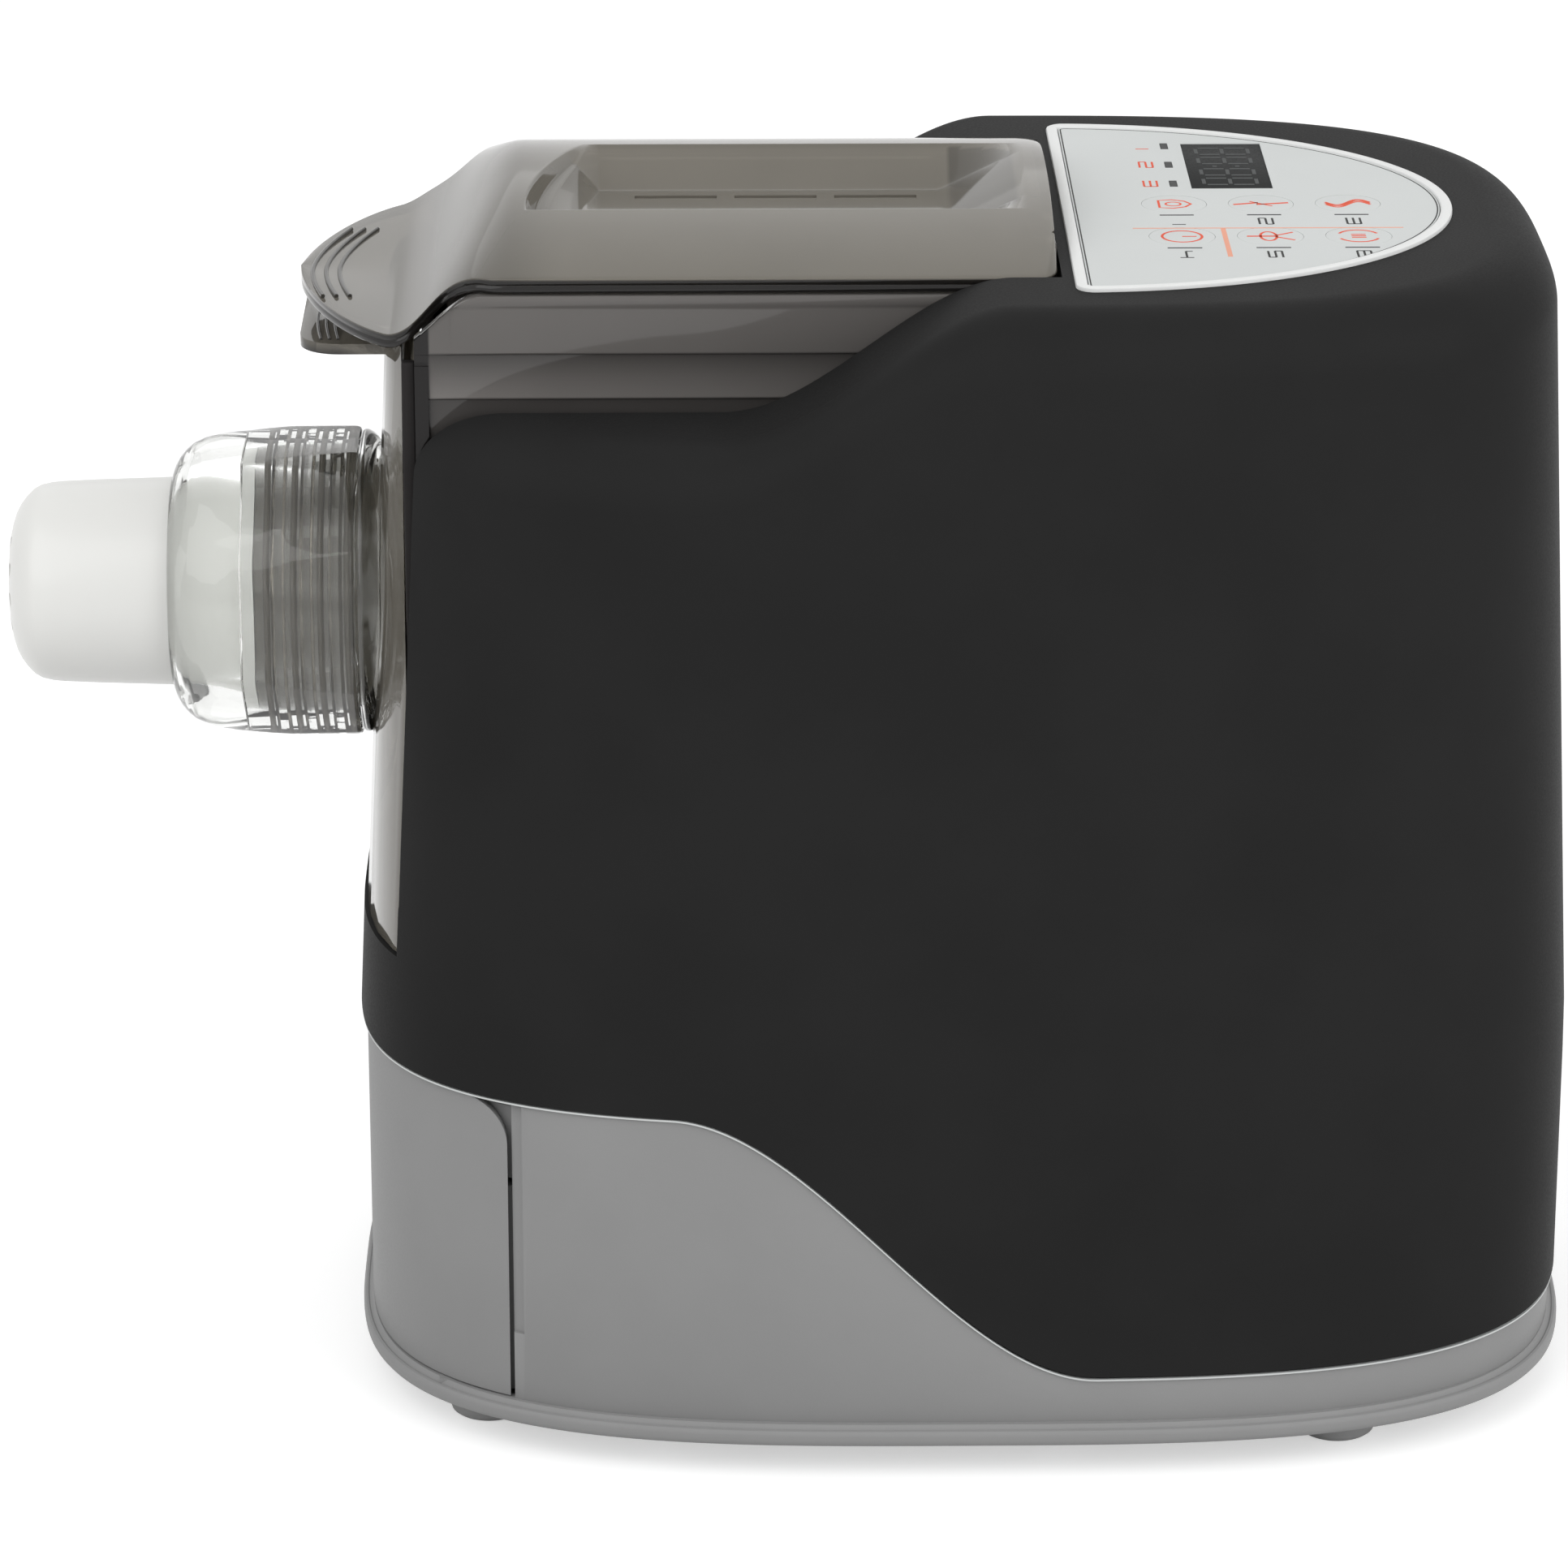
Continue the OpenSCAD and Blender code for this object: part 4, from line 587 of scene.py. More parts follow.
def bandPiece(a, b, wall, low, high, steps=400):
    loops = []
    for i in range(steps):
        t = 360 * i / steps
        (x, y), (p, q) = planPoint(a, b, t), planPoint(a - wall, b - wall, t)
        loops.append([(x, y, low(x)), (x, y, high(x)), (p, q, high(x)), (p, q, low(x))])
    return loft("band", loops, round=True)


def before(x):                                  # a block over all that lies in front of this place
    return slab((-far, -far, 0), (x, far, far))


def behind(x):
    return slab((x, -far, 0), (far, far, far))


housing = bandPiece(baseSet["half"], baseSet["side"], baseSet["wall"], lambda x: baseSet["low"],
                    lambda x: waveZ(x) - baseSet["gap"])
channel = bandPiece(channelSet["half"], channelSet["side"], channelSet["deep"], lambda x: channelSet["low"],
                    lambda x: 120)
combine(channel, [behind(channelSet["back"]), before(channelSet["front"])])
combine(housing, [before(baseSet["door"]), channel])
lip = bandPiece(lipSet["half"], lipSet["side"], lipSet["wall"],
                lambda x: max(lipSet["least"], waveZ(x) - lipSet["under"]),
                lambda x: waveZ(x) + lipSet["above"])
combine(lip, [before(baseSet["door"])])
liner = bandPiece(linerSet["half"], linerSet["side"], linerSet["wall"], lambda x: linerSet["low"],
                  lambda x: linerSet["top"])
combine(liner, [behind(linerSet["back"]), before(linerSet["front"])])
posts = [prism(circle(spot, postSet["radius"], 32), baseSet["low"], postSet["top"]) for spot in screwSpots]
divider = slab((dividerSet["front"], -dividerSet["half"], baseSet["low"]),
               (dividerSet["back"], dividerSet["half"], dividerSet["top"]))
settle(joinAll("housing", [housing, lip, liner, divider] + posts), "baseHousing", "machine",
       finishes["base"], ["base_housing"], bevel=0.35, angle=42)

# painted highlight: a thin pale band in the panel colour along the shell's lower edge
edgeHighlightBand = bandPiece(edgeHighlightSet["half"], edgeHighlightSet["side"], edgeHighlightSet["wall"], lambda x: waveZ(x) - edgeHighlightSet["low"],
                     lambda x: waveZ(x) - edgeHighlightSet["top"])
settle(edgeHighlightBand, "shellEdgeHighlight", "machine", finishes["panel"], angle=50)

trayRings = [(1.1, 7.5), (0.5, 7.75), (0.1, 8.3), (0, 9.0), (0, 10.2), (0.12, 10.75), (0.5, 11.2),
             (1.0, 11.35), (1.3, 11.25), (1.6, 11.35), (2.0, 11.75), (2.3, 12.15), (4.7, 12.25),
             (4.8, 10.5)]                       # inset, height
tray = loft("tray", [[(x, y, z) for x, y in planLine(traySet["half"] - inset, traySet["side"] - inset, 400)]
                     for inset, z in trayRings])
floorVents = [slab((traySet["ventFront"], y - traySet["ventWidth"] / 2, 0),
                   (traySet["ventBack"], y + traySet["ventWidth"] / 2, 30))
              for y in stripes(traySet["vents"], traySet["ventPitch"])]
screwHoles = [prism(circle(spot, postSet["hole"], 24), 0, postSet["holeTop"]) for spot in screwSpots]
combine(tray, [joinAll("floorVents", floorVents), joinAll("screwHoles", screwHoles)])
runners = []
for side in (-1, 1):
    r = runnerSet
    runners.append(slab((r["front"], side * r["y"] - r["width"] / 2, r["low"]),
                        (r["back"], side * r["y"] + r["width"] / 2, r["top"])))
    runners.append(slab((r["railFront"], side * r["railY"] - r["railWidth"] / 2, r["low"]),
                        (r["back"], side * r["railY"] + r["railWidth"] / 2, r["railTop"])))
settle(joinAll("tray", [tray] + runners), "baseTray", "machine", finishes["base"],
       ["base_tray"], angle=30)

footProfile = [(0, 0.6), (2.2, 0.5), (4.4, 0.15), (6.6, 0), (8.0, 0.25), (8.7, 0.8),
               (footSet["radius"], 1.7), (footSet["radius"], footSet["top"])]    # radius, height
feet = [loft("foot", [[(x, y, z) for x, y in circle(spot, max(r, 0.02), 48)] for r, z in footProfile])
        for spot in footSpots]
settle(joinAll("feet", feet), "rubberFeet", "machine", finishes["rubber_feet"],
       ["feet"], angle=50)


def buildDrawer():
    d = drawerSet
    corner = circle((d["edge"] - d["corner"], d["top"] - d["corner"]), d["corner"], 9, 0, 90)
    front = bandPiece(baseSet["half"], baseSet["side"], d["wall"], lambda x: d["low"], lambda x: d["top"])
    combine(front, [across([(-far, 0), (d["edge"], 0)] + corner + [(-far, d["top"])], 120)], "INTERSECT")
    box = slab((d["boxFront"], -d["boxHalf"], d["low"]), (d["boxBack"], d["boxHalf"], d["boxTop"]))
    combine(box, [prism(planLine(baseSet["half"] - 1, baseSet["side"] - 1), 0, 100)], "INTERSECT")
    inside = d["boxHalf"] - d["boxWall"]
    combine(box, [slab((-150, -inside, d["low"] + d["boxWall"]), (d["boxBack"] - d["boxWall"], inside, 70))])
    return joinAll("drawer", [front, box])


settle(buildDrawer(), "storageDrawer", "drawer", finishes["base"], ["storage_drawer"],
       bevel=0.75, angle=42, segments=3)
print("base, feet and drawer built")

# ---- mixing bowl: U section with two ledges and a rim
bowlSet = dict(front=-122, back=9, rim=263.0, outerR=55.5, innerR=53.1, backR=53.4, flangeR=56.7, flange=3,
               bossR=13, bossFront=3, bossBack=10.2, hole=9.05, earHalf=3, earY=36)
lidSet = dict(tab=253.4, edge=266.6, top=276.0, tip=-149.4, shoulder=-122.0, half=57.0, back=17.7, corner=6,
              waist=6.5, waistAt=-115.5, waistSpread=6, riseStart=-129, riseEnd=-107, crestStart=-128,
              crestEnd=-100, wall=2.2, lip=3.2)
hingeSpot, hingeR = (15.2, 268.3), 3


def lidRim(x):
    s = lidSet
    return s["tab"] + (s["edge"] - s["tab"]) * ease(x, s["riseStart"], s["riseEnd"])


def bowlTop(x):
    return min(bowlSet["rim"], lidRim(x) - lidSet["lip"] - 0.5)


def troughSection(r, top, steps=72):
    sweep = [math.radians(-t) for t in np.linspace(0, 180, steps)]
    return [(r, top)] + [(r * math.cos(t), axisZ + r * math.sin(t)) for t in sweep] + [(-r, top)]


def buildBowl():
    b = bowlSet
    outer = [(57.3, b["rim"]), (57.3, 260.9), (56.9, 260.3), (56.7, 259.6), (56.7, 250.1), (56.5, 249.6),
             (56.1, 249.4), (56.1, 239.8), (55.9, 239.3), (b["outerR"], 239.1)]
    outer = outer + troughSection(b["outerR"], 200)[1:-1] + [(-y, z) for y, z in reversed(outer)]
    inner = [(-b["innerR"], b["rim"]), (-b["innerR"], 250.0)]
    inner += list(reversed(troughSection(b["innerR"], 240)[1:-1])) + [(-y, z) for y, z in reversed(inner)]
    stations = list(np.linspace(b["front"], -100, 45)) + [-80, -60, -40, -20, 0, b["back"]]
    bowl = loft("bowl", [[(x, y, min(z, bowlTop(x))) for y, z in outer + inner] for x in stations])
    backWall = along(troughSection(b["backR"], 262.9), 6.6, 8.98)
    flange = along(troughSection(b["flangeR"], 247.0), b["front"], b["front"] + b["flange"])
    combine(flange, [along(troughSection(b["innerR"], 300), -130, -110)])
    boss = [(b["bossFront"], 0), (b["bossFront"], b["bossR"]), (b["bossBack"], b["bossR"]), (b["bossBack"], 0)]
    combine(bowl, [backWall, flange, lathe("boss", boss, 64, (0, axisZ))], "UNION")
    x, z = hingeSpot
    ear = circle((x, z), hingeR, 12, 0, 180) + [(x - hingeR, 263), (8, 262.9), (8, 248), (x + hingeR, 262)]
    combine(bowl, [across(ear, b["earHalf"], side * b["earY"]) for side in (-1, 1)], "UNION")
    hole = [(-20, 0), (-20, b["hole"]), (20, b["hole"]), (20, 0)]
    return combine(bowl, [lathe("hole", hole, 64, (0, axisZ))])


def bowlTintAndPaintedShade(x, y, z):
    # the front flange seen edge on is dark: thick rim tint and painted shade
    if x < bowlSet["front"] + 3.2:
        return 1.0
    if abs(y) > 55 and (249.2 < z < 249.9 or 238.9 < z < 239.6):   # painted shade under the two ledges
        return 0.75
    # painted shade: the band above the upper ledge is darker
    return 0.3 if z > 249.9 and abs(y) > 52 else 0.0


bowl = settle(buildBowl(), "mixingBowl", "bowl", finishes["bowl"], ["mixing_bowl"],
              bevel=0.3, angle=40)
paintRimTintAndShade(bowl, bowlTintAndPaintedShade)
settle(fromCad("seal", "bowl_seal"), "bowlSeal", "bowl", finishes["seal"], ["bowl_seal"],
       bevel=0.4, angle=40)

# ---- front plate with its barrel, thread and grip tab
plate = fromCad("plate", "front_plate")
threadSet = {"Rings": 4, "Pitch": 6.0, "Start": -157.2, "Radius": 29.0, "Bead": 0.75}


def buildThreadTree():
    tree, keys, size = newTree("threadRings", threadSet)
    first = size["Start"].put("ShaderNodeCombineXYZ", {0: (size["Start"] + baseX) * mm, 2: axisZ * mm})
    step = size["Pitch"].put("ShaderNodeCombineXYZ", {0: size["Pitch"] * mm})
    line = addNode(tree, "GeometryNodeMeshLine", {"Count": size["Rings"], "Start Location": first,
                   "Offset": step})
    ring = addNode(tree, "GeometryNodeCurvePrimitiveCircle", {"Resolution": 128,
                   "Radius": size["Radius"] * mm})
    bead = addNode(tree, "GeometryNodeCurvePrimitiveCircle", {"Resolution": 12, "Radius": size["Bead"] * mm})
    solid = ring.put("GeometryNodeCurveToMesh", {"Curve": ring, "Profile Curve": bead})
    rings = line.put("GeometryNodeInstanceOnPoints", {"Points": line, "Instance": solid,
                                                      "Rotation": (0.0, math.pi / 2, 0.0)})
    endTree(tree, rings, finishes["smoky"])
    return tree, keys


threadTree, threadKeys = buildThreadTree()
thread = grow("thread", threadTree, threadKeys, threadSet)
settle(plate, "frontPlate", "plate", finishes["plate"], ["front_plate"], bevel=0.35, angle=32)
paintRimTintAndShade(plate, lambda x, y, z: 1.0 if x < -136 and 239 < z < 241.2 else 0.0)   # the edge of the grip tab is darkened: thick rim tint and painted shade
settle(thread, "barrelThread", "plate", finishes["plate"], angle=60)

# ---- clear ring, fluted nut and white die
nutSet = dict(front=-180.0, length=43, bore=28.85, mouth=24.0, seat=16.5, flutes=8, fluteDepth=1.35,
              fluteStart=8.5, fluteFull=24.0, meet=18.0, spread=0.94, spreadEnd=1.84,
              grooves=((36.5, 39.7), (30.1, 33.3), (23.8, 27.1)), grooveR=30.2, flank=0.75)
nutProfile = [(0, 24.3), (0.05, 24.6), (0.35, 25.6), (0.9, 27.0), (1.9, 28.7), (3.2, 30.2), (4.9, 31.6),
              (7.5, 32.8), (11, 33.7), (15, 34.3), (19, 34.65), (23, 34.95), (27, 35.2), (32, 35.2),
              (37, 35.2), (41, 35.2), (42, 35.15), (42.7, 34.9), (43, 34.3)]   # distance from the front, radius


def fluteDepth(x, share):                       # share runs from 0 in a flute's middle to 1 on the next ridge
    s = nutSet
    past = max(0.0, (x - s["meet"]) / (s["length"] - s["meet"]))
    narrow = s["spread"] + (s["spreadEnd"] - s["spread"]) * past
    return s["fluteDepth"] * ease(x, s["fluteStart"], s["fluteFull"]) * max(0.0, 1 - narrow * share ** 2)


def nutBore():                                  # from the rear mouth through the thread grooves to the seat
    s = nutSet
    line = [(s["length"], 29.6), (s["length"] - 0.7, s["bore"])]
    for low, high in s["grooves"]:
        line += [(high, s["bore"]), (high - s["flank"], s["grooveR"]), (low + s["flank"], s["grooveR"]),
                 (low, s["bore"])]
    return line + [(s["seat"] + 0.5, s["bore"]), (s["seat"], 28.4), (s["seat"], s["mouth"]),
                   (0.3, s["mouth"])]


def buildNut(steps=384):
    s = nutSet
    places, radii = [p[0] for p in nutProfile], [p[1] for p in nutProfile]
    stations = np.interp(np.linspace(0, len(places) - 1, 90), range(len(places)), places)
    reach = np.interp(stations, places, radii)
    rows = []
    for i in range(steps):
        t = 2 * math.pi * i / steps
        share = abs((t * s["flutes"] / (2 * math.pi) + 0.5) % 1.0 - 0.5) * 2
        row = [(x, r - fluteDepth(x, share)) for x, r in zip(stations, reach)] + nutBore()
        rows.append([(s["front"] + x, r * math.sin(t), axisZ + r * math.cos(t)) for x, r in row])
    return loft("nut", rows, round=True)


settle(buildNut(), "dieNut", "nut", finishes["clear"], ["die_nut"], angle=24)
ringProfile = [(-136.6, 29.3), (-136.3, 28.9), (-131.7, 28.9), (-131.4, 29.2), (-131.7, 30.2), (-132.3, 31.6),
               (-133.2, 32.9), (-134.3, 33.9), (-135.4, 34.5), (-136.2, 34.6), (-136.6, 34.3)]
settle(lathe("ring", ringProfile, 160, (0, axisZ)), "barrelRing", "plate", finishes["clear"],
       ["barrel_ring"], angle=50)

dieSet = dict(tip=-dieTip, holeFront=-219, holeBack=-208, holeR=1.5,
              holeRings=((0, 1), (6.5, 6), (13, 12)))   # rings: radius, count
dieProfile = [(0, 0.02), (0, 5), (0.15, 8.5), (0.55, 12), (1.0, 14), (1.7, 16.1), (2.7, 18), (3.9, 19.6),
              (5.5, 21.2), (7.2, 22.1), (9.5, 22.6), (12, 22.85), (20, 23.2), (30, 23.5), (39.2, 23.8),
              (51.5, 23.8), (53.6, 24.0), (53.8, 28.6), (57.0, 28.6), (57.0, 25.5), (64.7, 25.5),
              (64.9, 25.3), (64.9, 24.7), (57.2, 24.7), (57.0, 24.5), (57.0, 20.3), (6.2, 20.3),
              (6.0, 20.0), (6.0, 0.02)]         # distance from the tip, radius
die = lathe("die", [(dieSet["tip"] + x, r) for x, r in dieProfile], 160, (0, axisZ))
drills = []
drill = [(dieSet["holeFront"], 0), (dieSet["holeFront"], dieSet["holeR"]),
         (dieSet["holeBack"], dieSet["holeR"]), (dieSet["holeBack"], 0)]
for radius, count in dieSet["holeRings"]:
    for y, z in circle((0, axisZ), radius, count):
        drills.append(lathe("drill", drill, 20, (y, z)))
combine(die, [joinAll("drills", drills)])
settle(die, "pastaDie", "die", finishes["white"], ["pasta_die"], angle=36)
print("plate, nut and die built")

# ---- lid: height field with a sunk trough, turned down into a lip all round
troughSet = dict(front=-108, nose=-86.5, bow=12, middle=-60, back=12.4, ramp=18.0, deep=9.0, step=2,
                 stepFall=4, shelf=3.4, near=-0.5, flatNear=-0.35, flatFar=0.28, far=0.46)
# near, flatNear, flatFar and far are shares of the lid's half width, seen from the middle


def lidWidth(x):
    s = lidSet
    if x > s["back"] - s["corner"]:
        past = x - s["back"] + s["corner"]
        return s["half"] - s["corner"] + math.sqrt(max(0.0, s["corner"] ** 2 - past ** 2))
    forward = max(0.0, (s["shoulder"] - x) / (s["shoulder"] - s["tip"]))
    waist = s["waist"] * math.exp(-((x - s["waistAt"]) / s["waistSpread"]) ** 2)
    return max(0.0, s["half"] * max(0.0, 1 - forward ** 1.6) ** 0.66 - waist)


def lidSkin(x, f):                              # f runs from -1 at the near edge to 1 at the far edge
    s = lidSet
    rim, low = lidRim(x), s["tab"] + 0.6
    crest = max(rim + 0.2, low + (s["top"] - low) * ease(x, s["crestStart"], s["crestEnd"]))
    return rim + (crest - rim) * max(0.0, 1 - abs(f) ** 2.4) ** 0.9


def softMin(values, k=0.035):
    return -k * math.log(sum(math.exp(-v / k) for v in values))


def troughRows():                               # a row gives its X place and its depth at a share f
    s = troughSet

    def near(f):
        return min(1.0, max(0.0, (s["far"] - f) / (s["far"] - s["near"])))

    def nose(f):
        return s["nose"] - s["bow"] * math.sin(math.pi / 2 * near(f))

    def foot(f):                                # depth at the foot of the low wall
        return s["step"] + s["stepFall"] * near(f)

    def shelf(f, t):
        return nose(f) + 1.8 + s["shelf"] * t * near(f)

    def floorLine(f):
        flat = (f - s["flatNear"]) / (s["flatFar"] - s["flatNear"])
        return s["nose"] - 0.5 + 4.4 * min(1.0, max(0.0, flat)) ** 2

    def top(t):
        return lambda f: (s["front"] + t * (nose(f) - s["front"]), 0.0)

    def wall(a, b):
        return lambda f: (nose(f) + a, b * foot(f))

    def ledge(t):
        return lambda f: (shelf(f, t), foot(f) + 0.3 * t)

    def ramp(t):
        drop = softMin([t, 1.0], 0.02)
        return lambda f: (shelf(f, 1) + t * (floorLine(f) - shelf(f, 1)),
                          foot(f) + 0.3 + drop * (s["deep"] - foot(f) - 0.3))

    def level(t):
        return lambda f: (floorLine(f) + t * (s["middle"] - floorLine(f)), s["deep"])

    walls = ((-0.15, 0.0), (0.1, 0.04), (0.35, 0.18), (1.25, 0.8), (1.55, 0.96), (1.8, 1.0))
    return ([top(t) for t in np.linspace(0.1, 0.96, 10)] + [wall(a, b) for a, b in walls]
            + [ledge(t) for t in (0.5, 0.93, 1.0)]
            + [ramp(t) for t in (0.06, 0.12, 0.3, 0.5, 0.7, 0.88, 0.94, 1.0)]
            + [level(t) for t in (0.02, 0.05, 0.2, 0.4, 0.6, 0.8, 1.0)])


def lidShares():                                # where the rows have points, closer at the edges and creases
    even = [round(v, 5) for v in np.linspace(-0.9, 0.9, 110)]
    edges = [side * v for side in (-1, 1) for v in (0.92, 0.94, 0.955, 0.967, 0.977, 0.985, 0.992, 0.997, 1.0)]
    creases = [troughSet[edge] + d for edge in ("near", "flatNear", "flatFar", "far")
               for d in (-0.009, -0.004, 0.0, 0.004, 0.009)]
    return sorted(set(even + edges + creases))


def lidRows():
    t, corner = troughSet, lidSet["corner"]
    rear, reach = lidSet["back"] - corner, t["front"] - lidSet["tip"]
    tab = [t["front"] - reach * math.sin(math.radians(a)) for a in np.linspace(89.2, 0, 70)]
    rows = [lambda f, x=x: (x, 0.0) for x in tab] + troughRows()
    bend = [rear + corner * math.sin(math.radians(a)) for a in np.linspace(0, 90, 12)]
    for x in list(np.arange(t["middle"] + 2, rear, 1.0)) + bend:
        rise = max(0.0, softMin([(t["back"] - x) / t["ramp"], 1.0], 0.02))
        rows.append(lambda f, x=x, depth=t["deep"] * min(1.0, rise): (x, depth))
    return rows


def lipPoints(point, under, side):              # a lip turned down from the skin, with a fine line round it
    x, y, z = point
    p, q = under
    low = lidRim(x) - lidSet["lip"]
    line, turn = [side * min(d, abs(y) * 0.1) for d in (0.3, 0.4)]
    return [(x, y, z - 0.5), (x, y, low + 2.0), (x, y - line, low + 1.8), (x, y - line, low + 1.55),
            (x, y, low + 1.35), (x, y, low + 0.4), (x, y - turn, low),
            (p, q + side * 0.3 * min(1, abs(q)), low), (p, q, low + 0.4)]


def troughShare(f):                             # 1 over the trough's flat floor, 0 outside the trough
    t = troughSet
    sides = [(f - t["near"]) / (t["flatNear"] - t["near"]), (t["far"] - f) / (t["far"] - t["flatFar"])]
    return max(0.0, softMin(sides + [1.0], 0.025))


def buildLid():
    s = lidSet
    shares, loops = lidShares(), []
    for row in lidRows():
        over, below = [], []
        for f in shares:
            x, depth = row(f)
            depth *= troughShare(f)
            width = lidWidth(x)
            over.append((x, width * f, lidSkin(x, f) - depth))
            xi = max(s["tip"] + s["wall"] * 1.2, min(s["back"] - s["wall"], x))
            inner = max(0.02, min(width, lidWidth(xi)) - s["wall"]) if width > s["wall"] else 0.02
            thick = s["wall"] * (1.15 if abs(f) > 0.9 else 1.02)
            below.append((xi, inner * f, max(lidRim(xi) - s["lip"], lidSkin(xi, f) - depth - thick)))
        away = lipPoints(over[-1], below[-1][:2], math.copysign(1, over[-1][1]))
        near = lipPoints(over[0], below[0][:2], math.copysign(1, over[0][1]))
        loops.append(over + away + list(reversed(below)) + list(reversed(near)))
    count, size, side = len(shares), len(loops[0]), len(near)
    faces = [(j * size + i, j * size + (i + 1) % size, (j + 1) * size + (i + 1) % size, (j + 1) * size + i)
             for j in range(len(loops) - 1) for i in range(size)]
    last = 2 * count + side - 1                 # place of the first point of the underside in its loop
    for a in (0, (len(loops) - 1) * size):      # ends: a strip between the skin and its underside
        faces += [(a + i, a + i + 1, a + last - 1 - i, a + last - i) for i in range(count - 1)]
        faces.append(tuple(a + i for i in range(count - 1, count + side + 1)))
        faces.append(tuple(a + i for i in [0] + list(range(size - 1, last - 1, -1))))
    return addMesh("lid", [p for loop in loops for p in loop], faces)


slotSet = dict(places=(-74.5, -52, -29.5), length=18.5, y=(8, 10.6))
lugSet = dict(half=2.3, y=30.1, top=273.4, notchHalf=3.3, notch=(11.2, 18.7), notchTop=271.9, pinR=1.8,
              pinHalf=9)
gripSet = {"Ribs": 3, "First": -146.5, "Pitch": 3.0, "Height": 254.05, "Far": 29.6, "Near": -25.7,
           "Middle": -4.0, "Bow": 7.0, "Fall": 3.3, "Bead": 0.5}
plateGrip = {**gripSet, "First": -145.7, "Pitch": 1.9, "Height": 242.85, "Far": 19.0, "Near": -21.5,
             "Middle": -2.0, "Bow": 4.0, "Fall": 1.6, "Bead": 0.35}


def fitLid(lid):                                # hinge lugs, slots in the trough, notches and bores for the ears
    s = lugSet
    x, z = hingeSpot
    sides = (-1, 1)
    lug = circle((x, z), hingeR, 12, 180, 360) + [(x + 2, s["top"]), (x - hingeR, s["top"])]
    combine(lid, [across(lug, s["half"], side * s["y"]) for side in sides], "UNION")
    (near, away), length = slotSet["y"], slotSet["length"]
    combine(lid, [slab((front, near, 255), (front + length, away, 275)) for front in slotSet["places"]])
    front, back = s["notch"]
    y, half = bowlSet["earY"], s["notchHalf"]
    combine(lid, [slab((front, side * y - half, 255), (back, side * y + half, s["notchTop"])) for side in sides])
    return combine(lid, [across(circle((x, z), s["pinR"], 24), s["pinHalf"], side * y) for side in sides])


def buildGripTree():
    tree, keys, size = newTree("gripRibs", gripSet)
    line = addNode(tree, "GeometryNodeCurvePrimitiveLine", {"Start": (0.0, 0.0, 0.0), "End": (0.0, 1.0, 0.0)})
    fine = line.put("GeometryNodeResampleCurve", {"Curve": line, "Count": 48})
    spot = addNode(tree, "GeometryNodeInputPosition")
    y = size["Near"] + (size["Far"] - size["Near"]) * spot.put("ShaderNodeSeparateXYZ", {0: spot}, out=1)
    off = y - size["Middle"]
    upper = (off.math("MAXIMUM", off, 0.0) / (size["Far"] - size["Middle"])) ** 1.7 * size["Bow"]
    lower = (off.math("MAXIMUM", -off, 0.0) / (size["Middle"] - size["Near"])) ** 1.8 * size["Fall"]
    bow = y.put("ShaderNodeCombineXYZ", {0: (upper + lower) * mm, 1: y * mm})
    bent = fine.put("GeometryNodeSetPosition", {"Geometry": fine, "Position": bow})
    bead = addNode(tree, "GeometryNodeCurvePrimitiveCircle", {"Resolution": 10, "Radius": size["Bead"] * mm})
    rib = bent.put("GeometryNodeCurveToMesh", {"Curve": bent, "Profile Curve": bead, "Fill Caps": True})
    first = y.put("ShaderNodeCombineXYZ", {0: (size["First"] + baseX) * mm, 2: size["Height"] * mm})
    step = y.put("ShaderNodeCombineXYZ", {0: size["Pitch"] * mm})
    row = addNode(tree, "GeometryNodeMeshLine", {"Count": size["Ribs"], "Start Location": first, "Offset": step})
    ribs = row.put("GeometryNodeInstanceOnPoints", {"Points": row, "Instance": rib})
    endTree(tree, ribs, finishes["smoky"])
    return tree, keys


def lidTintAndPaintedShade(x, y, z):                       # the lip is dark from thick rim tint and painted shade; painted shade on the front slope and the trough's rear
    w = lidWidth(x)
    outside = abs(y) > w - 2.6 or x > lidSet["back"] - 2.4 or x < lidSet["tip"] + 3
    if z < lidRim(x) - 0.2 and outside:
        return 1.0
    # painted shade: a little everywhere, more on the front slope and round x = -117
    share = 0.1 + 0.24 * ease(-x, 88, 104) + 0.14 * max(0.0, 1 - abs(x + 117) / 12)
    f = y / max(w, 1.0)
    t = troughSet
    if -99 < x < t["back"] and t["near"] < f < t["far"] and z < lidSkin(x, f) - 0.8:   # inside the trough
        # painted shade on the trough's rear and nose wall; the far wall gets none, so it reads lighter
        share = 0.45 if x > -4 else 0.0 if f > t["flatFar"] else 0.22 if -95 < x < -86 else share
    return share


lid = settle(fitLid(buildLid()), "bowlLid", "lid", finishes["smoky"], ["bowl_lid"], angle=62)
paintRimTintAndShade(lid, lidTintAndPaintedShade)
gripTree, gripKeys = buildGripTree()
lidRibs = grow("lidRibs", gripTree, gripKeys, gripSet)
plateRibs = grow("plateRibs", gripTree, gripKeys, plateGrip)
for ribs, name, body in ((lidRibs, "lidGripRibs", "lid"), (plateRibs, "plateGripRibs", "plate")):
    settle(ribs, name, body, finishes["smoky"], angle=60)
    # painted shade: the grip ribs are darkened as thick rims are
    paintRimTintAndShade(ribs, lambda x, y, z: 0.8)

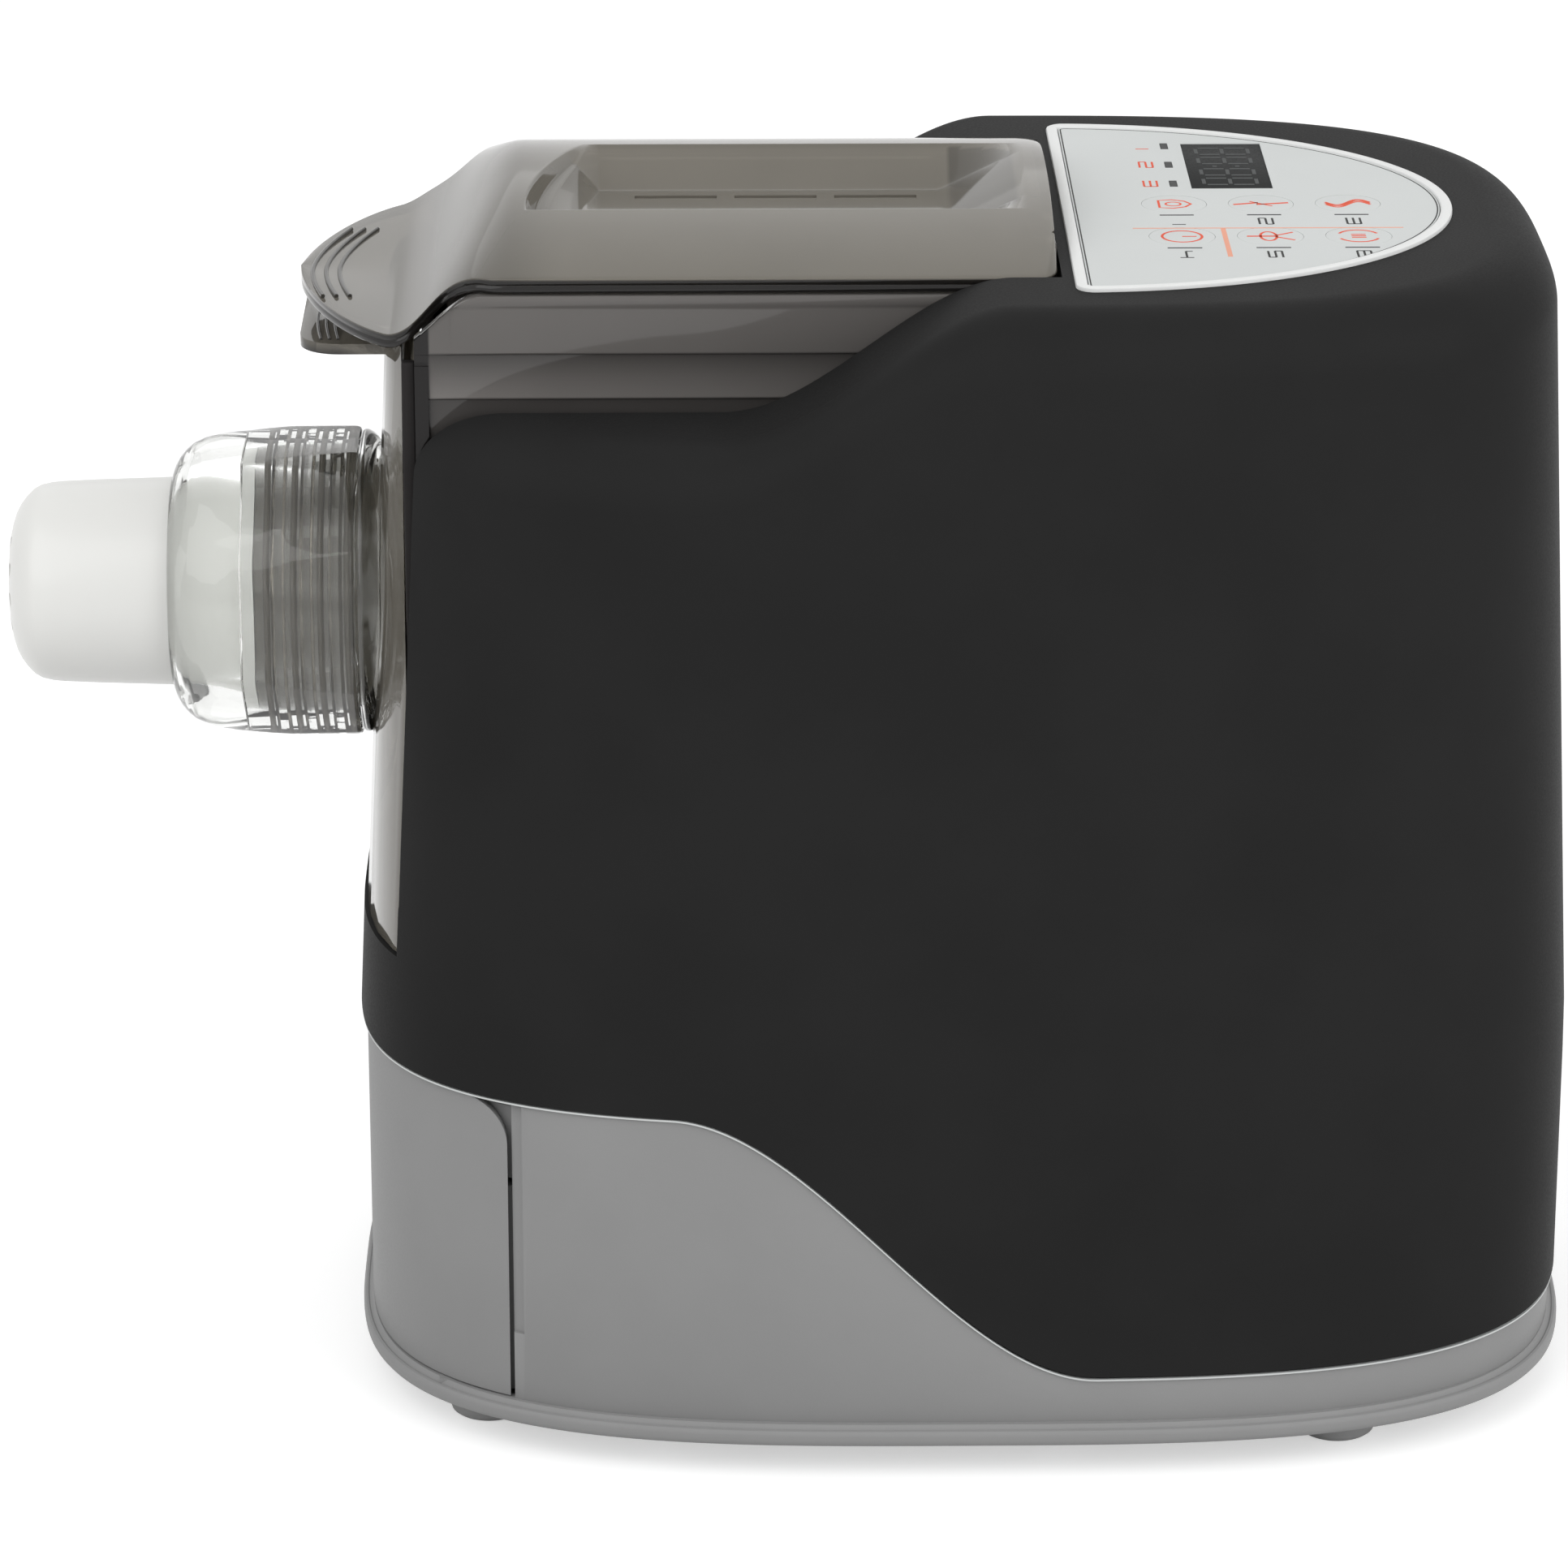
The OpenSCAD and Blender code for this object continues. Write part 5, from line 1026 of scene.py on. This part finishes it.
# ---- control panel
keySet = dict(cols=(46.5, 66.0, 85.5), rows=(0.0, -27.0), radius=7.3, gap=0.05, wellGap=0.1, wellLow=265.1,
              stemR=2.0, stemGap=0.05, stemLow=258.0, under=265.85)
windowSet = dict(x=60.6, y=33.0, half=9.1, halfLong=19.75, gap=0.1, wellHalf=8, wellLong=18)
lampSet = dict(x=47.5, rows=(50.5, 34.0, 17.5), half=0.8, halfLong=2.6, gap=0.1, pinR=0.7, pinLow=254.3)
keySpots = [(x, y) for y in keySet["rows"] for x in keySet["cols"]]
trimRings = [(-1.4, 263.4), (-1.4, 267.0), (0, 267.0), (0, 267.4), (-0.15, 267.75), (-0.5, 267.9),
             (-2.0, 267.9), (-2.4, 267.8), (-2.6, 267.5), (-2.6, 266.2)]   # how far out, height


def window(x, y, half, halfLong):               # corners of a field, long across the panel
    return [(x - half, y - halfLong), (x + half, y - halfLong), (x + half, y + halfLong),
            (x - half, y + halfLong)]


def buildTrim():
    trim = loft("trim", [[(x, y, z) for x, y in panelShape(extra)] for extra, z in trimRings])
    k, w = keySet, windowSet
    wells = [prism(circle(spot, k["radius"] + k["wellGap"], 64), k["wellLow"], 280) for spot in keySpots]
    stems = [prism(circle(spot, k["stemR"] + k["stemGap"], 24), 250, 280) for spot in keySpots]
    behindWindow = prism(window(w["x"], w["y"], w["wellHalf"], w["wellLong"]), 200, 300)
    return combine(trim, [joinAll("wells", wells), joinAll("stems", stems), behindWindow])


def buildFace():
    face = prism(panelShape(-panel["inset"]), panel["under"], panel["face"])
    holes = [prism(circle(spot, keySet["radius"] + keySet["gap"], 96), 260, 280) for spot in keySpots]
    w, lens = windowSet, lampSet
    opening = prism(window(w["x"], w["y"], w["half"] + w["gap"], w["halfLong"] + w["gap"]), 260, 280)
    lampCuts = [prism(window(lens["x"], y, lens["half"] + lens["gap"], lens["halfLong"] + lens["gap"]), 260, 280)
                for y in lens["rows"]]
    return combine(face, [joinAll("holes", holes), opening, joinAll("lampCuts", lampCuts)])


settle(buildTrim(), "panelTrim", "machine", finishes["trim"], ["panel_frame"], angle=40)
settle(buildFace(), "panelFace", "machine", finishes["panel"], ["panel_overlay"], angle=40)
inkSet = dict(top=panel["face"] + 0.02, thick=0.06, pen=0.6)


def inkStroke(points, width, height=inkSet["top"], closed=False):   # flat raised line on the panel
    pts = [np.array(p, float) for p in points]
    loops = []
    for i, p in enumerate(pts):
        last = pts[i - 1] if i or closed else p
        following = pts[(i + 1) % len(pts)] if i < len(pts) - 1 or closed else p
        way = following - last
        way = way / (np.linalg.norm(way) or 1.0)
        side = np.array((-way[1], way[0])) * width / 2
        (a, b), (c, d) = p + side, p - side
        low = height - inkSet["thick"]
        loops.append([(a, b, low), (a, b, height), (c, d, height), (c, d, low)])
    return loft("ink", loops, round=closed)


def inkOval(x, y, a, b, width, steps=40, start=0, end=360):
    whole = end - start == 360
    turns = [math.radians(t) for t in np.linspace(start, end, steps, endpoint=not whole)]
    return inkStroke([(x + a * math.cos(t), y + b * math.sin(t)) for t in turns], width, closed=whole)


def clockIcon(x, y):
    pen = inkSet["pen"]
    return [inkOval(x, y, 4.4, 4.6, pen), inkStroke([(x, y), (x + 3.2, y)], pen)]


def kneadIcon(x, y):
    pen = inkSet["pen"]
    arcs = [inkOval(x, y, 4.6, 4.8, pen, 30, start, start + 130) for start in (25, 205)]
    return arcs + [inkStroke([(x - 1.6, y + s), (x + 1.6, y + s)], pen) for s in (-1.2, 0, 1.2)]


def extrudeIcon(x, y):
    pen = inkSet["pen"]
    fan = [inkStroke([(x + 1, y + 0.4 * side), (x + 5.2, y + 3.2 * side)], pen) for side in (-1, 1)]
    return [inkStroke([(x - 5.2, y), (x + 1.0, y)], pen * 1.4), inkOval(x - 0.4, y, 1.8, 3.6, pen)] + fan


def filledIcon(x, y):
    pen = inkSet["pen"]
    shape = [(-3.4, -3.0), (-3.4, 3.0), (-0.4, 3.6), (2.4, 2.4), (3.8, 0), (2.4, -2.4), (-0.4, -3.6)]
    return [inkStroke([(x + a, y + b) for a, b in shape], pen, closed=True),
            inkOval(x - 0.2, y, 1.7, 1.6, pen * 0.8)]


def quickIcon(x, y):
    bolt = [(-6.2, -0.6), (-0.6, 0.9), (-1.0, -0.6), (6.2, 0.8)]
    return [inkStroke([(x + a, y + b) for a, b in bolt], inkSet["pen"] * 1.5),
            inkStroke([(x - 2.4, y + 2.0), (x + 2.4, y - 2.0)], inkSet["pen"] * 0.8)]


def pastaIcon(x, y):
    curve = [(x + 5 * t, y + 2.2 * math.sin(t * 3.2)) for t in np.linspace(-1, 1, 30)]
    return [inkStroke([(a, b + s) for a, b in curve], inkSet["pen"]) for s in (-0.8, 0.2, 1.1)]


def numberMark(number, x, y, up=3.0, wide=5.0, pen=0.5):   # straight strokes, their top to the back
    ends = dict(a=(1, 1, 1, -1), b=(1, -1, 0, -1), c=(0, -1, -1, -1), d=(-1, -1, -1, 1), e=(-1, 1, 0, 1),
                f=(0, 1, 1, 1), g=(0, 1, 0, -1))
    parts = ("bc", "abged", "abgcd", "fgbc", "afgcd", "afgedc")[number - 1]
    return [inkStroke([(x + up / 2 * ends[part][k], y + wide / 2 * ends[part][k + 1]) for k in (0, 2)], pen)
            for part in parts]


icons = dict(filled=filledIcon, quick=quickIcon, pasta=pastaIcon, power=clockIcon, extrude=extrudeIcon,
             knead=kneadIcon)                   # in the order of keySpots
for (name, icon), spot in zip(icons.items(), keySpots):
    r, low, top = keySet["radius"], keySet["under"], panel["face"]
    rings = ((r - 0.1, low), (r, low + 0.15), (r, top - 0.1), (r - 0.06, top - 0.02), (r - 0.2, top))
    cap = loft("cap", [[(a, b, z) for a, b in circle(spot, radius, 96)] for radius, z in rings])
    stem = prism(circle(spot, keySet["stemR"], 24), keySet["stemLow"], low + 0.05)
    body = "key_" + name
    settle(joinAll("key", [cap, stem]), name + "Key", body, finishes["key"], [body], angle=40)
    settle(joinAll("icon", icon(*spot)), name + "Icon", body, inkOrange, angle=40)

markSet = dict(lineHalf=3.8, lineDrop=9.3, lineWidth=0.75, numberDrop=14.6, lampDrop=5.2, border=3.3,
               borderWidth=0.3)
lampMarks = []
for i, y in enumerate(lampSet["rows"]):
    lampMarks += numberMark(i + 1, lampSet["x"] - markSet["lampDrop"], y)
settle(joinAll("lampMarks", lampMarks), "lampMarks", "machine", inkOrange, angle=40)
half, drop = markSet["lineHalf"], markSet["lineDrop"]
marks = [inkStroke([(x - half, y - drop), (x + half, y - drop)], markSet["lineWidth"]) for x, y in keySpots]
for i, (x, y) in enumerate(keySpots):
    marks += numberMark(i + 1, x, y - markSet["numberDrop"])
marks.append(inkStroke(panelShape(-markSet["border"]), markSet["borderWidth"], closed=True))
settle(joinAll("marks", marks), "panelMarks", "machine", inkBlack, angle=40)
rules = [inkStroke([(36, -20.2), (96, -20.2)], 0.6), inkStroke([(56, -20.6), (56, -43.5)], 1.1)]
settle(joinAll("rules", rules), "panelRules", "machine", inkPale, angle=40)


def raisedField(x, y, half, halfLong, rings):   # rings: distance in from the edge, height
    return loft("field", [[(a, b, z) for a, b in window(x, y, half - i, halfLong - i)] for i, z in rings])


w, lens = windowSet, lampSet
paneRings = ((0, panel["under"]), (0, 267.15), (0.15, 267.25))
lensRings = ((0, panel["under"]), (0, 267.3), (0.12, 267.42))
glass = raisedField(w["x"], w["y"], w["half"], w["halfLong"], paneRings)
settle(glass, "displayWindow", "machine", finishes["dark_window"], ["display_window"], angle=40)
digitSet = dict(places=(46.2, 38.0, 28.0, 19.8), high=6.0, wide=2.75, bar=2.1, post=2.3, pen=0.85, top=267.29,
                dotAt=2.6, dotHalf=0.5, dotPen=1.0)   # lengths are half of a digit's or a stroke's
d, digits = digitSet, []
for y in d["places"]:                           # two pairs of digits, read from the side
    for x in (w["x"] - d["high"], w["x"], w["x"] + d["high"]):
        digits.append(inkStroke([(x, y - d["bar"]), (x, y + d["bar"])], d["pen"], d["top"]))
    for x in (w["x"] - d["high"] / 2, w["x"] + d["high"] / 2):
        for side in (y - d["wide"], y + d["wide"]):
            digits.append(inkStroke([(x - d["post"], side), (x + d["post"], side)], d["pen"], d["top"]))
for x in (w["x"] - d["dotAt"], w["x"] + d["dotAt"]):
    digits.append(inkStroke([(x - d["dotHalf"], w["y"]), (x + d["dotHalf"], w["y"])], d["dotPen"], d["top"]))
settle(joinAll("digits", digits), "windowDigits", "machine", digitGrey, angle=40)
lenses = [raisedField(lens["x"], y, lens["half"], lens["halfLong"], lensRings) for y in lens["rows"]]
pins = [prism(circle((lens["x"], y), lens["pinR"], 16), lens["pinLow"], 266.3) for y in lens["rows"]]
settle(joinAll("lenses", lenses + pins), "lampLenses", "machine", finishes["lamp"],
       ["indicator_lenses"], angle=40)
print("panel built")

# ---- solids from the CAD that keep their shape take a finish of their own
kept = {
    "black": ["cord_gland", "board_parts", "tact_switches", "display_module", "cooling_fan", "shaft_seal"],
    "steel": ["base_screws", "hinge_pins", "board_screws", "output_shaft", "case_screws", "middle_axle",
              "motor_shaft", "motor_bearings", "lid_magnet"],
    "core_steel": ["stator_core", "rotor_core"],
    "copper": ["stator_coils"],
    "bronze": ["output_bearing"],
    "alloy": ["gear_case", "gear_cover", "motor_case", "motor_cap", "motor_cradle", "motor_pinion"],
    "gear_plastic": ["output_gear", "middle_gear", "extrusion_screw", "mixing_paddle", "lid_sensor"],
    "board": ["control_board", "power_board"],
}
for finish, names in kept.items():
    for name in names:
        node = frame["nodes"][name]
        node.data.materials.clear()
        node.data.materials.append(finishes[finish])
print("CAD solids finished")
